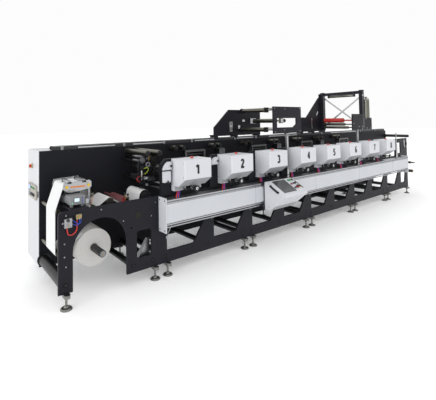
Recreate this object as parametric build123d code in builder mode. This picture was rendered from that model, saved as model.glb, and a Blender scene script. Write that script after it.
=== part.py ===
from build123d import *
import math
import os

# A narrow-web printing press: eight print units in line on a low frame, an unwinder at the left,
# a winding section at the right, a tall back wall with cabinets behind it, and two gantries on top.
# X runs with the web, Y from the front to the back and Z up. Lengths are in millimetres.
# Places along the press, called u, are measured from the joint between the unwinder and the first frame.

# Frame, along the press
unit_pitch = 750.0
unit_count = 8
module_units = 2
module_length = unit_pitch * module_units
module_count = unit_count // module_units
unwinder_length = 1188.0
delivery_length = 1221.0
seam_gap = 1.0

# Frame, up from the floor
frame_bottom = 150.0
frame_top = 952.0
wall_top = 1500.0
plate_thickness = 25.0

# Frame, across
wall_spacing = 820.0
cabinet_depth = 565.0
door_thickness = 22.0
wall_inset = 23.0
wall_overrun = 812.0
wall_step = 340.0

# Windows of the front frames
window_left = 80.0
window_bottom = 289.0
window_top = 620.0
window_foot = 408.0
window_lean = 0.7
window_corner = 18.0

# Reel bay and peep window of the unwinder
leg_width = 143.0
pier_width = 449.0
bay_centre_height = 528.0
plate_corner = 45.0
peep_start = 125.0
peep_width = 190.0
peep_bottom = 292.0
peep_height = 306.0
peep_corner = 28.0

# Tie bars between the front plates and the back wall
tie_radius = 35.0
unwind_tie = 116.0
joint_tie = 56.0
middle_tie = 716.0
last_tie = 124.0
first_tie = 62.0
tie_height = 226.0
big_tie_radius = 60.0

# Feet
pad_radius = 58.0
pad_thickness = 18.0
stem_radius = 12.0
foot_bracket_width = 62.0
foot_bracket_thickness = 32.0
foot_inset = 88.0
rear_foot_front = 930.0
rear_foot_back = 1330.0

# Service duct along the front and the rail under it
duct_depth = 152.0
duct_bottom = 630.0
duct_top = 921.0
duct_lip = 26.0
duct_head = 43.0
duct_start = -20.0
duct_length = 6857.0
duct_end_bottom = 545.0
duct_end_top = 945.0
duct_end_thickness = 12.0
panel_rail_radius = 9.0
panel_rail_height = 600.0
panel_rail_y = -112.0

# Control panel
panel_left = 1656.0
panel_width = 530.0
panel_reach = 527.0
panel_shoulder = 231.0
panel_top = 952.0
panel_tip_top = 787.0
panel_tip_bottom = 770.0
panel_heel = 277.0
panel_bottom = 548.0
panel_gap = 6.0
carriage_overhang = 35.0
carriage_clearance = 1.0

# Print unit, measured from the left of its pitch
hood_left = 132.0
hood_width = 409.0
hood_back = 35.0
hood_reach = 307.0
hood_top = 1382.0
hood_front_bottom = 1156.0
hood_belly = 179.0
hood_bottom = 1062.0
hood_skirt = 95.0
hood_skirt_bottom = 1000.0
hood_leg_left = 150.0
hood_leg_right = 58.0
hood_round = 14.0
side_left = -10.0
side_right = 550.0
side_top = 1382.0
side_front = -35.0
side_back = 15.0

impression_radius = 85.0
impression_offset = 330.0
cylinder_drop = 350.0
nip_gap = 1.0
plate_cylinder_radius = 60.0
plate_angle = 163.7
anilox_radius = 50.0
anilox_angle = 168.2
web_roller_radius = 36.0
web_roller_drop = 64.0
web_stub_length = 130.0
web_roller_one = -30.0
web_roller_two = 109.0
web_roller_one_front = 246.0
web_roller_two_front = 188.0
rod_radius = 12.0
rod_offset = 167.0
rod_drop = 110.0
dryer_offset = 125.0
dryer_width = 120.0
dryer_lift = 135.0
dryer_rise = 87.0
dryer_depth = 80.0
bracket_offset = 180.0
bracket_width = 400.0
bracket_drop = 270.0
bracket_rise = 152.0
bracket_wall = 30.0
bracket_depth = 70.0
cover_bottom = 1255.0
cover_rise = 95.0
cover_width = 112.0
ink_box_bottom = 1110.0
ink_box_rise = 130.0
ink_box_width = 100.0
cover_depth = 37.0
cylinder_front = 200.0
cylinder_back = 700.0

wheel_offset = 326.0
wheel_height = 1037.0
wheel_reach = 285.0
wheel_radius = 35.0
wheel_thickness = 20.0
knob_offset = 314.0
knob_reach = 206.0
knob_radius = 18.0
knob_height = 20.0
hose_radius = 7.0

# Reel, its shaft and the web
reel_offset = 14.0
reel_height = 449.0
reel_radius = 202.0
web_width = 339.0
web_front = 241.0
web_thickness = 2.0
web_gap = 0.05
core_radius = 38.0
shaft_front = -10.0
journal_radius = 25.0
bearing_clearance = 0.05
idler_radius = 25.0
guide_roller_radius = 28.0
nip_radius = 45.0
infeed_radius = 70.0

# Top rails and gantries
rail_section = 30.0
rail_first = 832.0
rail_second = 902.0
rail_bed = 20.0
rail_start = -1017.0
rail_end = 7990.0
slide_clearance = 0.3
bed_low = 1572.0
gantry_bottom = 1594.0
gantry_plate = 25.0
gantry_front = 110.0
post_width = 40.0
post_depth = 30.0
shoe_clearance = 0.3
tower_width = 80.0
tower_depth = 70.0
tower_u = 4828.0
brace_width = 28.0
brace_depth = 18.0
roller_inset = 28.0

# The machine is centred over its feet
estop_reach = 44.0
left_end = -unwinder_length + wall_inset - estop_reach
frame_end = module_length * module_count
wall_end = frame_end + delivery_length
right_end = wall_end + wall_overrun
rear_reach = wall_spacing + plate_thickness + cabinet_depth + door_thickness
joint = -(left_end + right_end) / 2
face = (panel_reach - rear_reach) / 2


def facing(y):
    """Upright plane at y behind the front plates; a positive extrusion comes forward."""
    return Plane(origin=(joint, face + y, 0), x_dir=(1, 0, 0), z_dir=(0, -1, 0))


def across(u):
    """Upright plane square to the press at u; extrudes along X."""
    return Plane(origin=(joint + u, face, 0), x_dir=(0, 1, 0), z_dir=(1, 0, 0))


def level(z):
    """Level plane at the height z; extrudes upwards."""
    return Plane(origin=(joint, face, z), x_dir=(1, 0, 0), z_dir=(0, 0, 1))


def finish(part, name):
    """Labels the piece and writes it as a STEP file."""
    part.label = name
    export_step(part, "parts/" + name + ".step")


os.makedirs("parts", exist_ok=True)
unit_starts = [unit_pitch * n for n in range(unit_count)]
wall_start = -unwinder_length + wall_inset
tie_positions = [80.0 - pier_width, -unwind_tie, joint_tie]
tie_positions += [middle_tie + module_length * m for m in range(module_count + 1)]
for m in range(module_count):
    tie_positions += [module_length * (m + 1) - last_tie, module_length * (m + 1) + first_tie]

# Unwinder's front plate: arched reel bay and peep window
bay_left = -unwinder_length + leg_width
bay_right = -pier_width
bay_radius = (bay_right - bay_left) / 2
bay_centre = bay_left + bay_radius
with BuildPart() as unwind_front_plate:
    with BuildSketch(facing(0)):
        with BuildLine():
            Polyline(
                (bay_left, frame_bottom),
                (-unwinder_length, frame_bottom),
                (-unwinder_length, frame_top),
                (-seam_gap, frame_top),
                (-seam_gap, frame_bottom),
                (bay_right, frame_bottom),
                (bay_right, bay_centre_height),
            )
            CenterArc((bay_centre, bay_centre_height), bay_radius, 0, 180)
            Line((bay_left, bay_centre_height), (bay_left, frame_bottom))
        make_face()
        with Locations((bay_right + peep_start + peep_width / 2, peep_bottom + peep_height / 2)):
            RectangleRounded(peep_width, peep_height, peep_corner, mode=Mode.SUBTRACT)
    extrude(amount=-plate_thickness)
    with BuildSketch(facing(0)):
        with Locations((-unwinder_length + 120, frame_top)):
            Rectangle(190, 12, align=(Align.MIN, Align.MIN))
    extrude(amount=-400)
    corner = unwind_front_plate.edges().filter_by(Axis.Y).group_by(Axis.X)[0].sort_by(Axis.Z)[-1]
    fillet(corner, plate_corner)
finish(unwind_front_plate.part, "unwind_front_plate")


def window(u):
    """Corners of one window of a front frame, whose right side leans."""
    foot = u + window_foot
    rise = window_top - window_bottom
    return [(u, window_bottom), (foot, window_bottom), (foot + window_lean * rise, window_top), (u, window_top)]


# Front frames, one for every two print units
for m in range(module_count):
    with BuildPart() as front_frame:
        with BuildSketch(facing(0)):
            with Locations((module_length * (m + 0.5), (frame_bottom + frame_top) / 2)):
                Rectangle(module_length - seam_gap, frame_top - frame_bottom)
            for n in range(module_units):
                Polygon(*window(module_length * m + unit_pitch * n + window_left), align=None, mode=Mode.SUBTRACT)
        extrude(amount=-plate_thickness)
        sides = front_frame.edges().filter_by(Axis.Y)
        fillet([e for e in sides if window_bottom - 1 < e.center().Z < window_top + 1], window_corner)
    finish(front_frame.part, "front_frame_" + str(m + 1))

# Front plate of the winding section, whose right half rises as a portal
portal_left = frame_end + 546.0
portal_right = frame_end + delivery_length
portal_top = 1345.0
last = frame_end + window_left + unit_pitch - 20.0
with BuildPart() as delivery_front_plate:
    with BuildSketch(facing(0)):
        Polygon(
            (frame_end, frame_bottom),
            (portal_right, frame_bottom),
            (portal_right, portal_top),
            (portal_left, portal_top),
            (portal_left, frame_top),
            (frame_end, frame_top),
            align=None,
        )
        Polygon(*window(frame_end + window_left), align=None, mode=Mode.SUBTRACT)
        Polygon(
            (last, window_bottom),
            (last + 230, window_bottom),
            (last + 300, window_top),
            (last, window_top),
            align=None,
            mode=Mode.SUBTRACT,
        )
        with Locations((portal_left + 85, 1002)):
            Rectangle(216, 248, align=(Align.MIN, Align.MIN), mode=Mode.SUBTRACT)
    extrude(amount=-plate_thickness)
    sides = delivery_front_plate.edges().filter_by(Axis.Y)
    fillet([e for e in sides if window_bottom - 1 < e.center().Z < window_top + 1], window_corner)
finish(delivery_front_plate.part, "delivery_front_plate")

# Tall back wall, stepped at the winding end, and the cabinets behind it
with BuildPart() as back_wall:
    with BuildSketch(facing(wall_spacing)):
        Polygon(
            (wall_start, frame_bottom),
            (wall_end, frame_bottom),
            (wall_end, wall_step),
            (right_end, wall_step),
            (right_end, wall_top),
            (wall_start, wall_top),
            align=None,
        )
    extrude(amount=-plate_thickness)
finish(back_wall.part, "back_wall")

wall_length = wall_end - wall_start
with BuildPart() as rear_cabinets:
    with BuildSketch(facing(wall_spacing + plate_thickness)):
        with Locations((wall_start, frame_bottom)):
            Rectangle(wall_length, wall_top - frame_bottom, align=(Align.MIN, Align.MIN))
    extrude(amount=-cabinet_depth)
finish(rear_cabinets.part, "rear_cabinets")

door_pitch = wall_length / 12
with BuildPart() as cabinet_doors:
    with BuildSketch(facing(wall_spacing + plate_thickness + cabinet_depth)):
        for n in range(12):
            with Locations((wall_start + door_pitch * (n + 0.5), (frame_bottom + wall_top) / 2)):
                Rectangle(door_pitch - 10, wall_top - frame_bottom - 60)
    extrude(amount=-door_thickness)
finish(cabinet_doors.part, "cabinet_doors")

# Tie bars, the one at the left leg thicker and with a flange on the wall
big_tie_u = -unwinder_length + leg_width / 2
with BuildPart() as tie_bars:
    with BuildSketch(facing(plate_thickness)):
        for u in tie_positions:
            with Locations((u, tie_height)):
                Circle(tie_radius)
        with Locations((big_tie_u, tie_height + 6)):
            Circle(big_tie_radius)
    extrude(amount=-(wall_spacing - plate_thickness))
    with BuildSketch(facing(wall_spacing - 16)):
        with Locations((big_tie_u, tie_height + 6)):
            Circle(big_tie_radius + 14)
    extrude(amount=-16)
finish(tie_bars.part, "tie_bars")

# Feet: bracket, threaded stem and round pad
front_feet_at = [-unwinder_length + 78.0]
for m in range(module_count + 1):
    front_feet_at += [module_length * m - foot_inset, module_length * m + foot_inset]
front_feet_at.append(wall_end - 84.0)
foot_places = [(u, 4.0) for u in front_feet_at]
rear_feet_at = [wall_start + 200.0] + [module_length * m - foot_inset for m in range(module_count + 1)]
rear_feet_at.append(wall_end - 120.0)
for u in rear_feet_at:
    foot_places += [(u, rear_foot_front), (u, rear_foot_back)]
with BuildPart() as feet:
    with BuildSketch(level(0)):
        with Locations(*foot_places):
            Circle(pad_radius)
    extrude(amount=pad_thickness)
    chamfer(feet.edges().group_by(Axis.Z)[-1], 9)
    with BuildSketch(level(pad_thickness)):
        with Locations(*foot_places):
            Circle(stem_radius)
    extrude(amount=frame_bottom - pad_thickness - foot_bracket_thickness)
    with BuildSketch(level(frame_bottom - foot_bracket_thickness)):
        for u, y in foot_places:
            with Locations((u, y)):
                SlotCenterToCenter(56, foot_bracket_width, rotation=90)
    extrude(amount=foot_bracket_thickness)
finish(feet.part, "feet")

# Service duct: a trunking with a grooved head, and its end plates
duct_front = -duct_depth
groove_low = duct_top - duct_head + 12
groove_high = duct_top - 14
with BuildPart() as service_duct:
    with BuildSketch(across(duct_start)):
        Polygon(
            (0, duct_bottom),
            (duct_front + 8, duct_bottom),
            (duct_front + 8, duct_bottom + duct_lip),
            (duct_front, duct_bottom + duct_lip),
            (duct_front, groove_low),
            (duct_front + 14, groove_low),
            (duct_front + 14, groove_high),
            (duct_front, groove_high),
            (duct_front, duct_top),
            (0, duct_top),
            align=None,
        )
    extrude(amount=duct_length)
finish(service_duct.part, "service_duct")

with BuildPart() as duct_end_plates:
    for u in (duct_start - duct_end_thickness, duct_start + duct_length):
        with BuildSketch(across(u)):
            with Locations((duct_front / 2 - 2, duct_end_bottom)):
                Rectangle(duct_depth + 4, duct_end_top - duct_end_bottom, align=(Align.CENTER, Align.MIN))
        extrude(amount=duct_end_thickness)
finish(duct_end_plates.part, "duct_end_plates")

# Rail below the duct on its brackets
bracket_count = int((duct_length - 200.0) // unit_pitch)
bracket_positions = [duct_start + 25.0] + [unit_pitch * n + 20.0 for n in range(1, bracket_count + 1)]
bracket_positions.append(duct_start + duct_length - 40.0)
with BuildPart() as panel_rail:
    with BuildSketch(across(duct_start)):
        with Locations((panel_rail_y, panel_rail_height)):
            Circle(panel_rail_radius)
    extrude(amount=duct_length)
    for u in bracket_positions:
        with BuildSketch(across(u)):
            Polygon(
                (0, panel_rail_height - 70),
                (0, duct_bottom),
                (-70, duct_bottom),
                (panel_rail_y, panel_rail_height + 8),
                (panel_rail_y, panel_rail_height - 8),
                (panel_rail_y + 30, panel_rail_height - 12),
                align=None,
            )
        extrude(amount=12)
finish(panel_rail.part, "panel_rail")

# Control panel that slides along the duct
panel_back = duct_front - panel_gap
with BuildPart() as control_box:
    with BuildSketch(across(panel_left)):
        Polygon(
            (panel_back, panel_bottom),
            (panel_back, panel_top - 30),
            (panel_back - 14, panel_top - 16),
            (-panel_shoulder, panel_top),
            (-panel_reach, panel_tip_top),
            (-panel_reach, panel_tip_bottom),
            (-panel_heel, panel_bottom),
            align=None,
        )
    extrude(amount=panel_width)
finish(control_box.part, "control_box")

slope = math.atan2(panel_top - panel_tip_top, panel_reach - panel_shoulder)
slope_length = math.hypot(panel_top - panel_tip_top, panel_reach - panel_shoulder)
panel_face = Plane(
    origin=(joint + panel_left + panel_width / 2, face - panel_reach, panel_tip_top),
    x_dir=(1, 0, 0),
    z_dir=(0, -math.sin(slope), math.cos(slope)),
)
with BuildPart() as control_screen:
    with BuildSketch(panel_face):
        with Locations((-55, slope_length / 2 + 18)):
            Rectangle(276, slope_length - 86)
    extrude(amount=7)
finish(control_screen.part, "control_screen")

with BuildPart() as control_buttons:
    with BuildSketch(panel_face):
        with Locations((150, 289), (197, 289), (240, 289), (130, 206), (188, 213), (226, 213), (120, 120), (232, 125)):
            Circle(12)
    extrude(amount=14)
    with BuildSketch(panel_face):
        with Locations((180, 128)):
            Circle(22)
    extrude(amount=30)
finish(control_buttons.part, "control_buttons")

grip_low = 100.0
grip_high = slope_length - 76.0
with BuildPart() as control_handles:
    for side in (-1, 1):
        edge = side * panel_width / 2
        with BuildSketch(panel_face.offset(-26)):
            with Locations((edge + side * 16, grip_low + 10), (edge + side * 16, grip_high - 10)):
                Rectangle(32, 20)
            with Locations((edge + side * 24, (grip_low + grip_high) / 2)):
                Rectangle(16, grip_high - grip_low)
        extrude(amount=22)
finish(control_handles.part, "control_handles")

with BuildPart() as control_carriage:
    with BuildSketch(across(panel_left - carriage_overhang)):
        Polygon(
            (panel_back, panel_top - 66),
            (panel_back, duct_top + 14),
            (-110, duct_top + 14),
            (-110, duct_top + carriage_clearance),
            (duct_front - carriage_clearance, duct_top + carriage_clearance),
            (duct_front - carriage_clearance, panel_top - 66),
            align=None,
        )
        with Locations(((panel_back + panel_rail_y) / 2, panel_rail_height)):
            Rectangle(panel_rail_y - panel_back, 46)
        with Locations((panel_rail_y, panel_rail_height)):
            Circle(panel_rail_radius + carriage_clearance, mode=Mode.SUBTRACT)
    extrude(amount=panel_width + 2 * carriage_overhang)
finish(control_carriage.part, "control_carriage")

# Print units: hoods, side plates, cylinders and rollers
with BuildPart() as print_hoods:
    for start in unit_starts:
        left = start + hood_left
        with BuildSketch(across(left)):
            Polygon(
                (-hood_back, hood_bottom),
                (-hood_back, hood_top),
                (-hood_reach, hood_top),
                (-hood_reach, hood_front_bottom),
                (-hood_belly, hood_bottom),
                align=None,
            )
        extrude(amount=hood_width)
    rim = [e for e in print_hoods.edges() if e.center().Y < face - hood_reach + 0.1]
    fillet([e for e in rim if e.center().Z > hood_front_bottom + 5], hood_round)
    for start in unit_starts:
        left = start + hood_left
        with BuildSketch(facing(-hood_back)):
            with Locations((left, hood_skirt_bottom)):
                Rectangle(hood_leg_left, hood_bottom - hood_skirt_bottom + 1, align=(Align.MIN, Align.MIN))
            with Locations((left + hood_width, hood_skirt_bottom)):
                Rectangle(hood_leg_right, hood_bottom - hood_skirt_bottom + 1, align=(Align.MAX, Align.MIN))
        extrude(amount=hood_skirt - hood_back)
finish(print_hoods.part, "print_hoods")

with BuildPart() as unit_side_plates:
    with BuildSketch(facing(side_front)):
        for start in unit_starts:
            with Locations((start + side_left, frame_top)):
                Rectangle(side_right - side_left, side_top - frame_top, align=(Align.MIN, Align.MIN))
    extrude(amount=side_front - side_back)
    tops = unit_side_plates.edges().filter_by(Axis.Y).group_by(Axis.Z)[-1]
    chamfer(tops, 60)
finish(unit_side_plates.part, "unit_side_plates")


# The plate cylinder lies on the impression cylinder and the anilox roller on the plate cylinder
impression_height = wall_top - cylinder_drop
plate_reach = impression_radius + plate_cylinder_radius + nip_gap
plate_offset = impression_offset + plate_reach * math.cos(math.radians(plate_angle))
plate_height = impression_height + plate_reach * math.sin(math.radians(plate_angle))
anilox_reach = plate_cylinder_radius + anilox_radius + nip_gap
anilox_offset = plate_offset + anilox_reach * math.cos(math.radians(anilox_angle))
anilox_height = plate_height + anilox_reach * math.sin(math.radians(anilox_angle))


def roller_row(radius, offset, height, y, starts):
    """One circle for every print unit named, on the upright plane at y."""
    with BuildSketch(facing(y)) as row:
        with Locations(*[(start + offset, height) for start in starts]):
            Circle(radius)
    return row.sketch


def cylinder_set(radius, neck, offset, height):
    """Sketches and depths of one set of cylinders: the bodies, then the necks on both sides."""
    return (
        (roller_row(radius, offset, height, cylinder_front, unit_starts), cylinder_back - cylinder_front),
        (roller_row(neck, offset, height, side_back, unit_starts), cylinder_front - side_back),
        (roller_row(neck, offset, height, cylinder_back, unit_starts), wall_spacing - cylinder_back),
    )


with BuildPart() as impression_cylinders:
    for row, depth in cylinder_set(impression_radius, 30.0, impression_offset, impression_height):
        extrude(row, amount=-depth)
finish(impression_cylinders.part, "impression_cylinders")

with BuildPart() as plate_cylinders:
    for row, depth in cylinder_set(plate_cylinder_radius, 24.0, plate_offset, plate_height):
        extrude(row, amount=-depth)
finish(plate_cylinders.part, "plate_cylinders")

with BuildPart() as anilox_rollers:
    for row, depth in cylinder_set(anilox_radius, 20.0, anilox_offset, anilox_height):
        extrude(row, amount=-depth)
finish(anilox_rollers.part, "anilox_rollers")

with BuildPart() as web_rollers:
    for offset_u, reach in ((web_roller_one, web_roller_one_front), (web_roller_two, web_roller_two_front)):
        height = wall_top - web_roller_drop
        stub = wall_spacing - web_stub_length
        extrude(roller_row(web_roller_radius, offset_u, height, reach, unit_starts[:1]), amount=reach - wall_spacing)
        extrude(roller_row(web_roller_radius, offset_u, height, stub, unit_starts[1:]), amount=-web_stub_length)
    rods = roller_row(rod_radius, rod_offset, impression_height - rod_drop, side_back, unit_starts)
    extrude(rods, amount=side_back - wall_spacing)
finish(web_rollers.part, "web_rollers")

# A dryer head on the wall behind every other unit
with BuildPart() as dryer_heads:
    with BuildSketch(facing(wall_spacing - dryer_depth)):
        for start in unit_starts[0::2]:
            with Locations((start + dryer_offset, impression_height + dryer_lift)):
                Rectangle(dryer_width, dryer_rise, align=(Align.MIN, Align.MIN))
    extrude(amount=-dryer_depth)
finish(dryer_heads.part, "dryer_heads")

# A bracket on the wall behind every second unit
with BuildPart() as web_brackets:
    with BuildSketch(facing(wall_spacing - bracket_depth)):
        for start in unit_starts[1::2]:
            with Locations((start + bracket_offset, wall_top - bracket_drop)):
                Rectangle(bracket_width, bracket_rise, align=(Align.MIN, Align.MIN))
            with Locations((start + bracket_offset + bracket_wall, wall_top - bracket_drop)):
                Rectangle(
                    bracket_width - 2 * bracket_wall,
                    bracket_rise - bracket_wall,
                    align=(Align.MIN, Align.MIN),
                    mode=Mode.SUBTRACT,
                )
    extrude(amount=-bracket_depth)
finish(web_brackets.part, "web_brackets")

cover_front = side_front - cover_depth
cover_top = cover_bottom + cover_rise
cover_crown = cover_width * 5 / 8
with BuildPart() as ink_covers:
    with BuildSketch(facing(side_front)):
        for start in unit_starts[:2]:
            with BuildLine():
                Polyline(
                    (start, cover_bottom),
                    (start + cover_width, cover_bottom),
                    (start + cover_width, cover_top),
                    (start + cover_crown, cover_top),
                )
                RadiusArc((start + cover_crown, cover_top), (start, cover_bottom), -(cover_rise + cover_crown) * 0.72)
            make_face()
        for start in unit_starts[:1]:
            with Locations((start, ink_box_bottom)):
                Rectangle(ink_box_width, ink_box_rise, align=(Align.MIN, Align.MIN))
    extrude(amount=side_front - cover_front)
finish(ink_covers.part, "ink_covers")

with BuildPart() as handwheels:
    with BuildSketch(facing(side_front)):
        with Locations(*[(start + wheel_offset, wheel_height) for start in unit_starts]):
            Circle(8)
    extrude(amount=wheel_reach + side_front - 5)
    with BuildSketch(facing(-wheel_reach + wheel_thickness)):
        with Locations(*[(start + wheel_offset, wheel_height) for start in unit_starts]):
            Circle(wheel_radius)
    extrude(amount=wheel_thickness)
    chamfer(handwheels.edges().group_by(Axis.Y)[0], 5)
finish(handwheels.part, "handwheels")

with BuildPart() as hood_knobs:
    with BuildSketch(level(hood_top)):
        with Locations(*[(start + knob_offset, -knob_reach) for start in unit_starts]):
            Circle(8)
    extrude(amount=10)
    with BuildSketch(level(hood_top + 8)):
        with Locations(*[(start + knob_offset, -knob_reach) for start in unit_starts]):
            Circle(knob_radius)
    extrude(amount=knob_height)
    chamfer(hood_knobs.edges().group_by(Axis.Z)[-1], 4)
finish(hood_knobs.part, "hood_knobs")

# Hoses from the hoods down to the duct
with BuildPart() as ink_hoses:
    for start in unit_starts:
        for k in (0, 1):
            top = (joint + start + hood_left + 62 + 26 * k, face - 65, hood_skirt_bottom)
            low = (joint + start + hood_left + 22 + 30 * k, face - 100, duct_top)
            drop = hood_skirt_bottom - duct_top
            with BuildLine() as route:
                FilletPolyline(
                    top,
                    (top[0], top[1], top[2] - drop * 0.28),
                    (low[0], low[1], low[2] + drop * 0.28),
                    low,
                    radius=14,
                )
            with BuildSketch(Plane(origin=top, x_dir=(1, 0, 0), z_dir=(0, 0, -1))):
                Circle(hose_radius)
            sweep(path=route.wire())
finish(ink_hoses.part, "ink_hoses")

# Reel on its expanding shaft
web_back = web_front + web_width
reel_u = bay_centre + reel_offset
unwinder_left = -unwinder_length
with BuildPart() as paper_roll:
    with BuildSketch(facing(web_front)):
        with Locations((reel_u, reel_height)):
            Circle(reel_radius)
            Circle(core_radius, mode=Mode.SUBTRACT)
    extrude(amount=-web_width)
finish(paper_roll.part, "paper_roll")

neck_start = web_back + 40.0
bearing_start = wall_spacing - 90.0
with BuildPart() as unwind_shaft:
    with BuildSketch(facing(shaft_front)):
        with Locations((reel_u, reel_height)):
            Circle(core_radius)
    extrude(amount=-(neck_start - shaft_front))
    with BuildSketch(facing(neck_start)):
        with Locations((reel_u, reel_height)):
            Circle(journal_radius)
    extrude(amount=-(wall_spacing - neck_start - 1))
    chamfer(unwind_shaft.edges().group_by(Axis.Y)[0], 4)
finish(unwind_shaft.part, "unwind_shaft")

with BuildPart() as unwind_bearing:
    with BuildSketch(facing(bearing_start)):
        with Locations((reel_u, reel_height)):
            Circle(75)
            Circle(journal_radius + bearing_clearance, mode=Mode.SUBTRACT)
    extrude(amount=-(wall_spacing - bearing_start))
finish(unwind_bearing.part, "unwind_bearing")

# Rollers that lead the web from the reel to the first unit, each fixed to the back wall
controller_rise = 38.0
controller_height = 84.0
guide_clearance = 14.0
guide_drop = 62.0
guide_height = frame_top + controller_rise + controller_height + guide_clearance + guide_drop
nip_u = -348.0
low_idler = (unwinder_left + 65.0, reel_height + 20.0, idler_radius)
high_idler = (unwinder_left + 65.0, 905.0, idler_radius)
guide_in = (unwinder_left + 150.0, guide_height, guide_roller_radius)
guide_out = (unwinder_left + 385.0, guide_height, guide_roller_radius)
feed_run = nip_u - guide_out[0]
dip_roller = (guide_out[0] + feed_run * 12 / 91, 886.0, 30.0)
turn_roller = (guide_out[0] + feed_run * 52 / 91, 928.0, 40.0)
nip = (nip_u, 905.0, nip_radius)
lift_roller = (-215.0, 800.0, 30.0)
infeed = (-85.0, 925.0, infeed_radius)
with BuildPart() as unwind_idlers:
    with BuildSketch(facing(web_front - 20)):
        for u, z, radius in (low_idler, high_idler, dip_roller, turn_roller, lift_roller):
            with Locations((u, z)):
                Circle(radius)
    extrude(amount=-(wall_spacing - web_front + 20))
finish(unwind_idlers.part, "unwind_idlers")

with BuildPart() as nip_roller:
    with BuildSketch(facing(web_front - 5)):
        with Locations(nip[:2]):
            Circle(nip_radius)
    extrude(amount=-(web_width + 10))
    with BuildSketch(facing(web_back + 5)):
        with Locations(nip[:2]):
            Circle(14)
    extrude(amount=-(wall_spacing - web_back - 5))
    with BuildSketch(facing(web_front - 60)):
        with Locations(nip[:2]):
            Circle(14)
    extrude(amount=-55)
finish(nip_roller.part, "nip_roller")

with BuildPart() as infeed_roller:
    with BuildSketch(facing(web_front - 8)):
        with Locations(infeed[:2]):
            Circle(infeed_radius)
    extrude(amount=-(web_width + 16))
    with BuildSketch(facing(web_front - 85)):
        with Locations(infeed[:2]):
            Circle(infeed_radius - 8)
    extrude(amount=-65)
    with BuildSketch(facing(plate_thickness)):
        with Locations(infeed[:2]):
            Circle(18)
    extrude(amount=-(wall_spacing - plate_thickness))
finish(infeed_roller.part, "infeed_roller")


def tangent(first, second):
    """Ends of the straight run between two circles; a negative radius is passed on its other side."""
    dx = second[0] - first[0]
    dz = second[1] - first[1]
    span = math.hypot(dx, dz)
    turn = math.asin((first[2] - second[2]) / span)
    angle = math.atan2(dz, dx) + math.pi / 2 - turn
    nx = math.cos(angle)
    nz = math.sin(angle)
    start = (first[0] + first[2] * nx, first[1] + first[2] * nz)
    end = (second[0] + second[2] * nx, second[1] + second[2] * nz)
    return start, end


# The web: a strip that wraps the rollers and stops just short of the reel
wrap = web_gap + web_thickness / 2
path = []
for u, z, radius, sense in (
    (reel_u, reel_height, reel_radius + 7, -1),
    (*low_idler, 1),
    (*high_idler, 1),
    (*guide_in, 1),
    (*guide_out, 1),
    (*dip_roller, -1),
    (*turn_roller, 1),
    (*nip, -1),
    (*lift_roller, -1),
    (*infeed, 1),
    (-6.0, 800.0, 4.0, 1),
):
    path.append((u, z, sense * (radius + wrap)))
runs = [tangent(path[n], path[n + 1]) for n in range(len(path) - 1)]
with BuildPart() as paper_web:
    with BuildSketch(facing(web_front)):
        with BuildLine():
            for n, run in enumerate(runs):
                Line(*run)
                if n + 1 < len(runs):
                    centre = Vector(path[n + 1][0], path[n + 1][1])
                    a = Vector(*run[1]) - centre
                    b = Vector(*runs[n + 1][0]) - centre
                    mid = centre + (a + b).normalized() * abs(path[n + 1][2])
                    ThreePointArc(run[1], (mid.X, mid.Y), runs[n + 1][0])
            offset(amount=web_thickness / 2, side=Side.BOTH)
        make_face()
    extrude(amount=-web_width)
finish(paper_web.part, "paper_web")

# Web guide over the unwinder, on arms from the wall, and its controller on the front plate
guide_u = unwinder_left + 106.0
guide_length = 312.0
with BuildPart() as web_guide:
    for y in (web_front - 30, web_back + 10):
        with BuildSketch(facing(y)):
            Polygon(
                (guide_u, guide_height - 18),
                (guide_u + 14, guide_height + 44),
                (guide_u + guide_length - 22, guide_height + 54),
                (guide_u + guide_length, guide_height + 34),
                (guide_u + guide_length, guide_height - 20),
                (guide_u + guide_length - 30, guide_height - 40),
                (guide_u + 96, guide_height - guide_drop),
                (guide_u + 56, guide_height - 58),
                align=None,
            )
            with Locations(guide_in[:2], guide_out[:2]):
                Circle(12.05, mode=Mode.SUBTRACT)
        extrude(amount=-12)
    with BuildSketch(facing(web_front - 30)):
        with Locations((guide_u + guide_length / 2, guide_height - 4)):
            Rectangle(120, 12)
    extrude(amount=-(wall_spacing - web_front + 30))
finish(web_guide.part, "web_guide")

with BuildPart() as web_guide_rollers:
    with BuildSketch(facing(web_front - 16)):
        with Locations(guide_in[:2], guide_out[:2]):
            Circle(guide_roller_radius)
    extrude(amount=-(web_width + 24))
    with BuildSketch(facing(web_front - 36)):
        with Locations(guide_in[:2], guide_out[:2]):
            Circle(12)
    extrude(amount=-(web_width + 64))
finish(web_guide_rollers.part, "web_guide_rollers")

with BuildPart() as guide_controller:
    with BuildSketch(facing(60)):
        with Locations((unwinder_left + 138, frame_top + controller_rise)):
            Rectangle(150, controller_height, align=(Align.MIN, Align.MIN))
    extrude(amount=-335)
    with BuildSketch(level(frame_top + 12)):
        for u in (unwinder_left + 158, unwinder_left + 268):
            with Locations((u, 90), (u, 360)):
                Rectangle(24, 24)
    extrude(amount=26)
finish(guide_controller.part, "guide_controller")

# Air valve and fitting on the unwinder's left leg
with BuildPart() as air_valve:
    with BuildSketch(facing(0)):
        with Locations((unwinder_left + 83, 845)):
            RectangleRounded(75, 90, 8)
        with Locations((unwinder_left + 188, 893)):
            RectangleRounded(58, 45, 6)
    extrude(amount=45)
finish(air_valve.part, "air_valve")

# Tension panel and stop button on the cabinet's left end
with BuildPart() as side_controls:
    with BuildSketch(across(wall_start)):
        with Locations((1105, 995)):
            Rectangle(380, 170)
    extrude(amount=-18)
    with BuildSketch(across(wall_start)):
        with Locations((1161, 1299)):
            Circle(30)
    extrude(amount=-14)
    with BuildSketch(across(wall_start - 14)):
        with Locations((1161, 1299)):
            Circle(19)
    extrude(amount=-(estop_reach - 14))
finish(side_controls.part, "side_controls")

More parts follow.
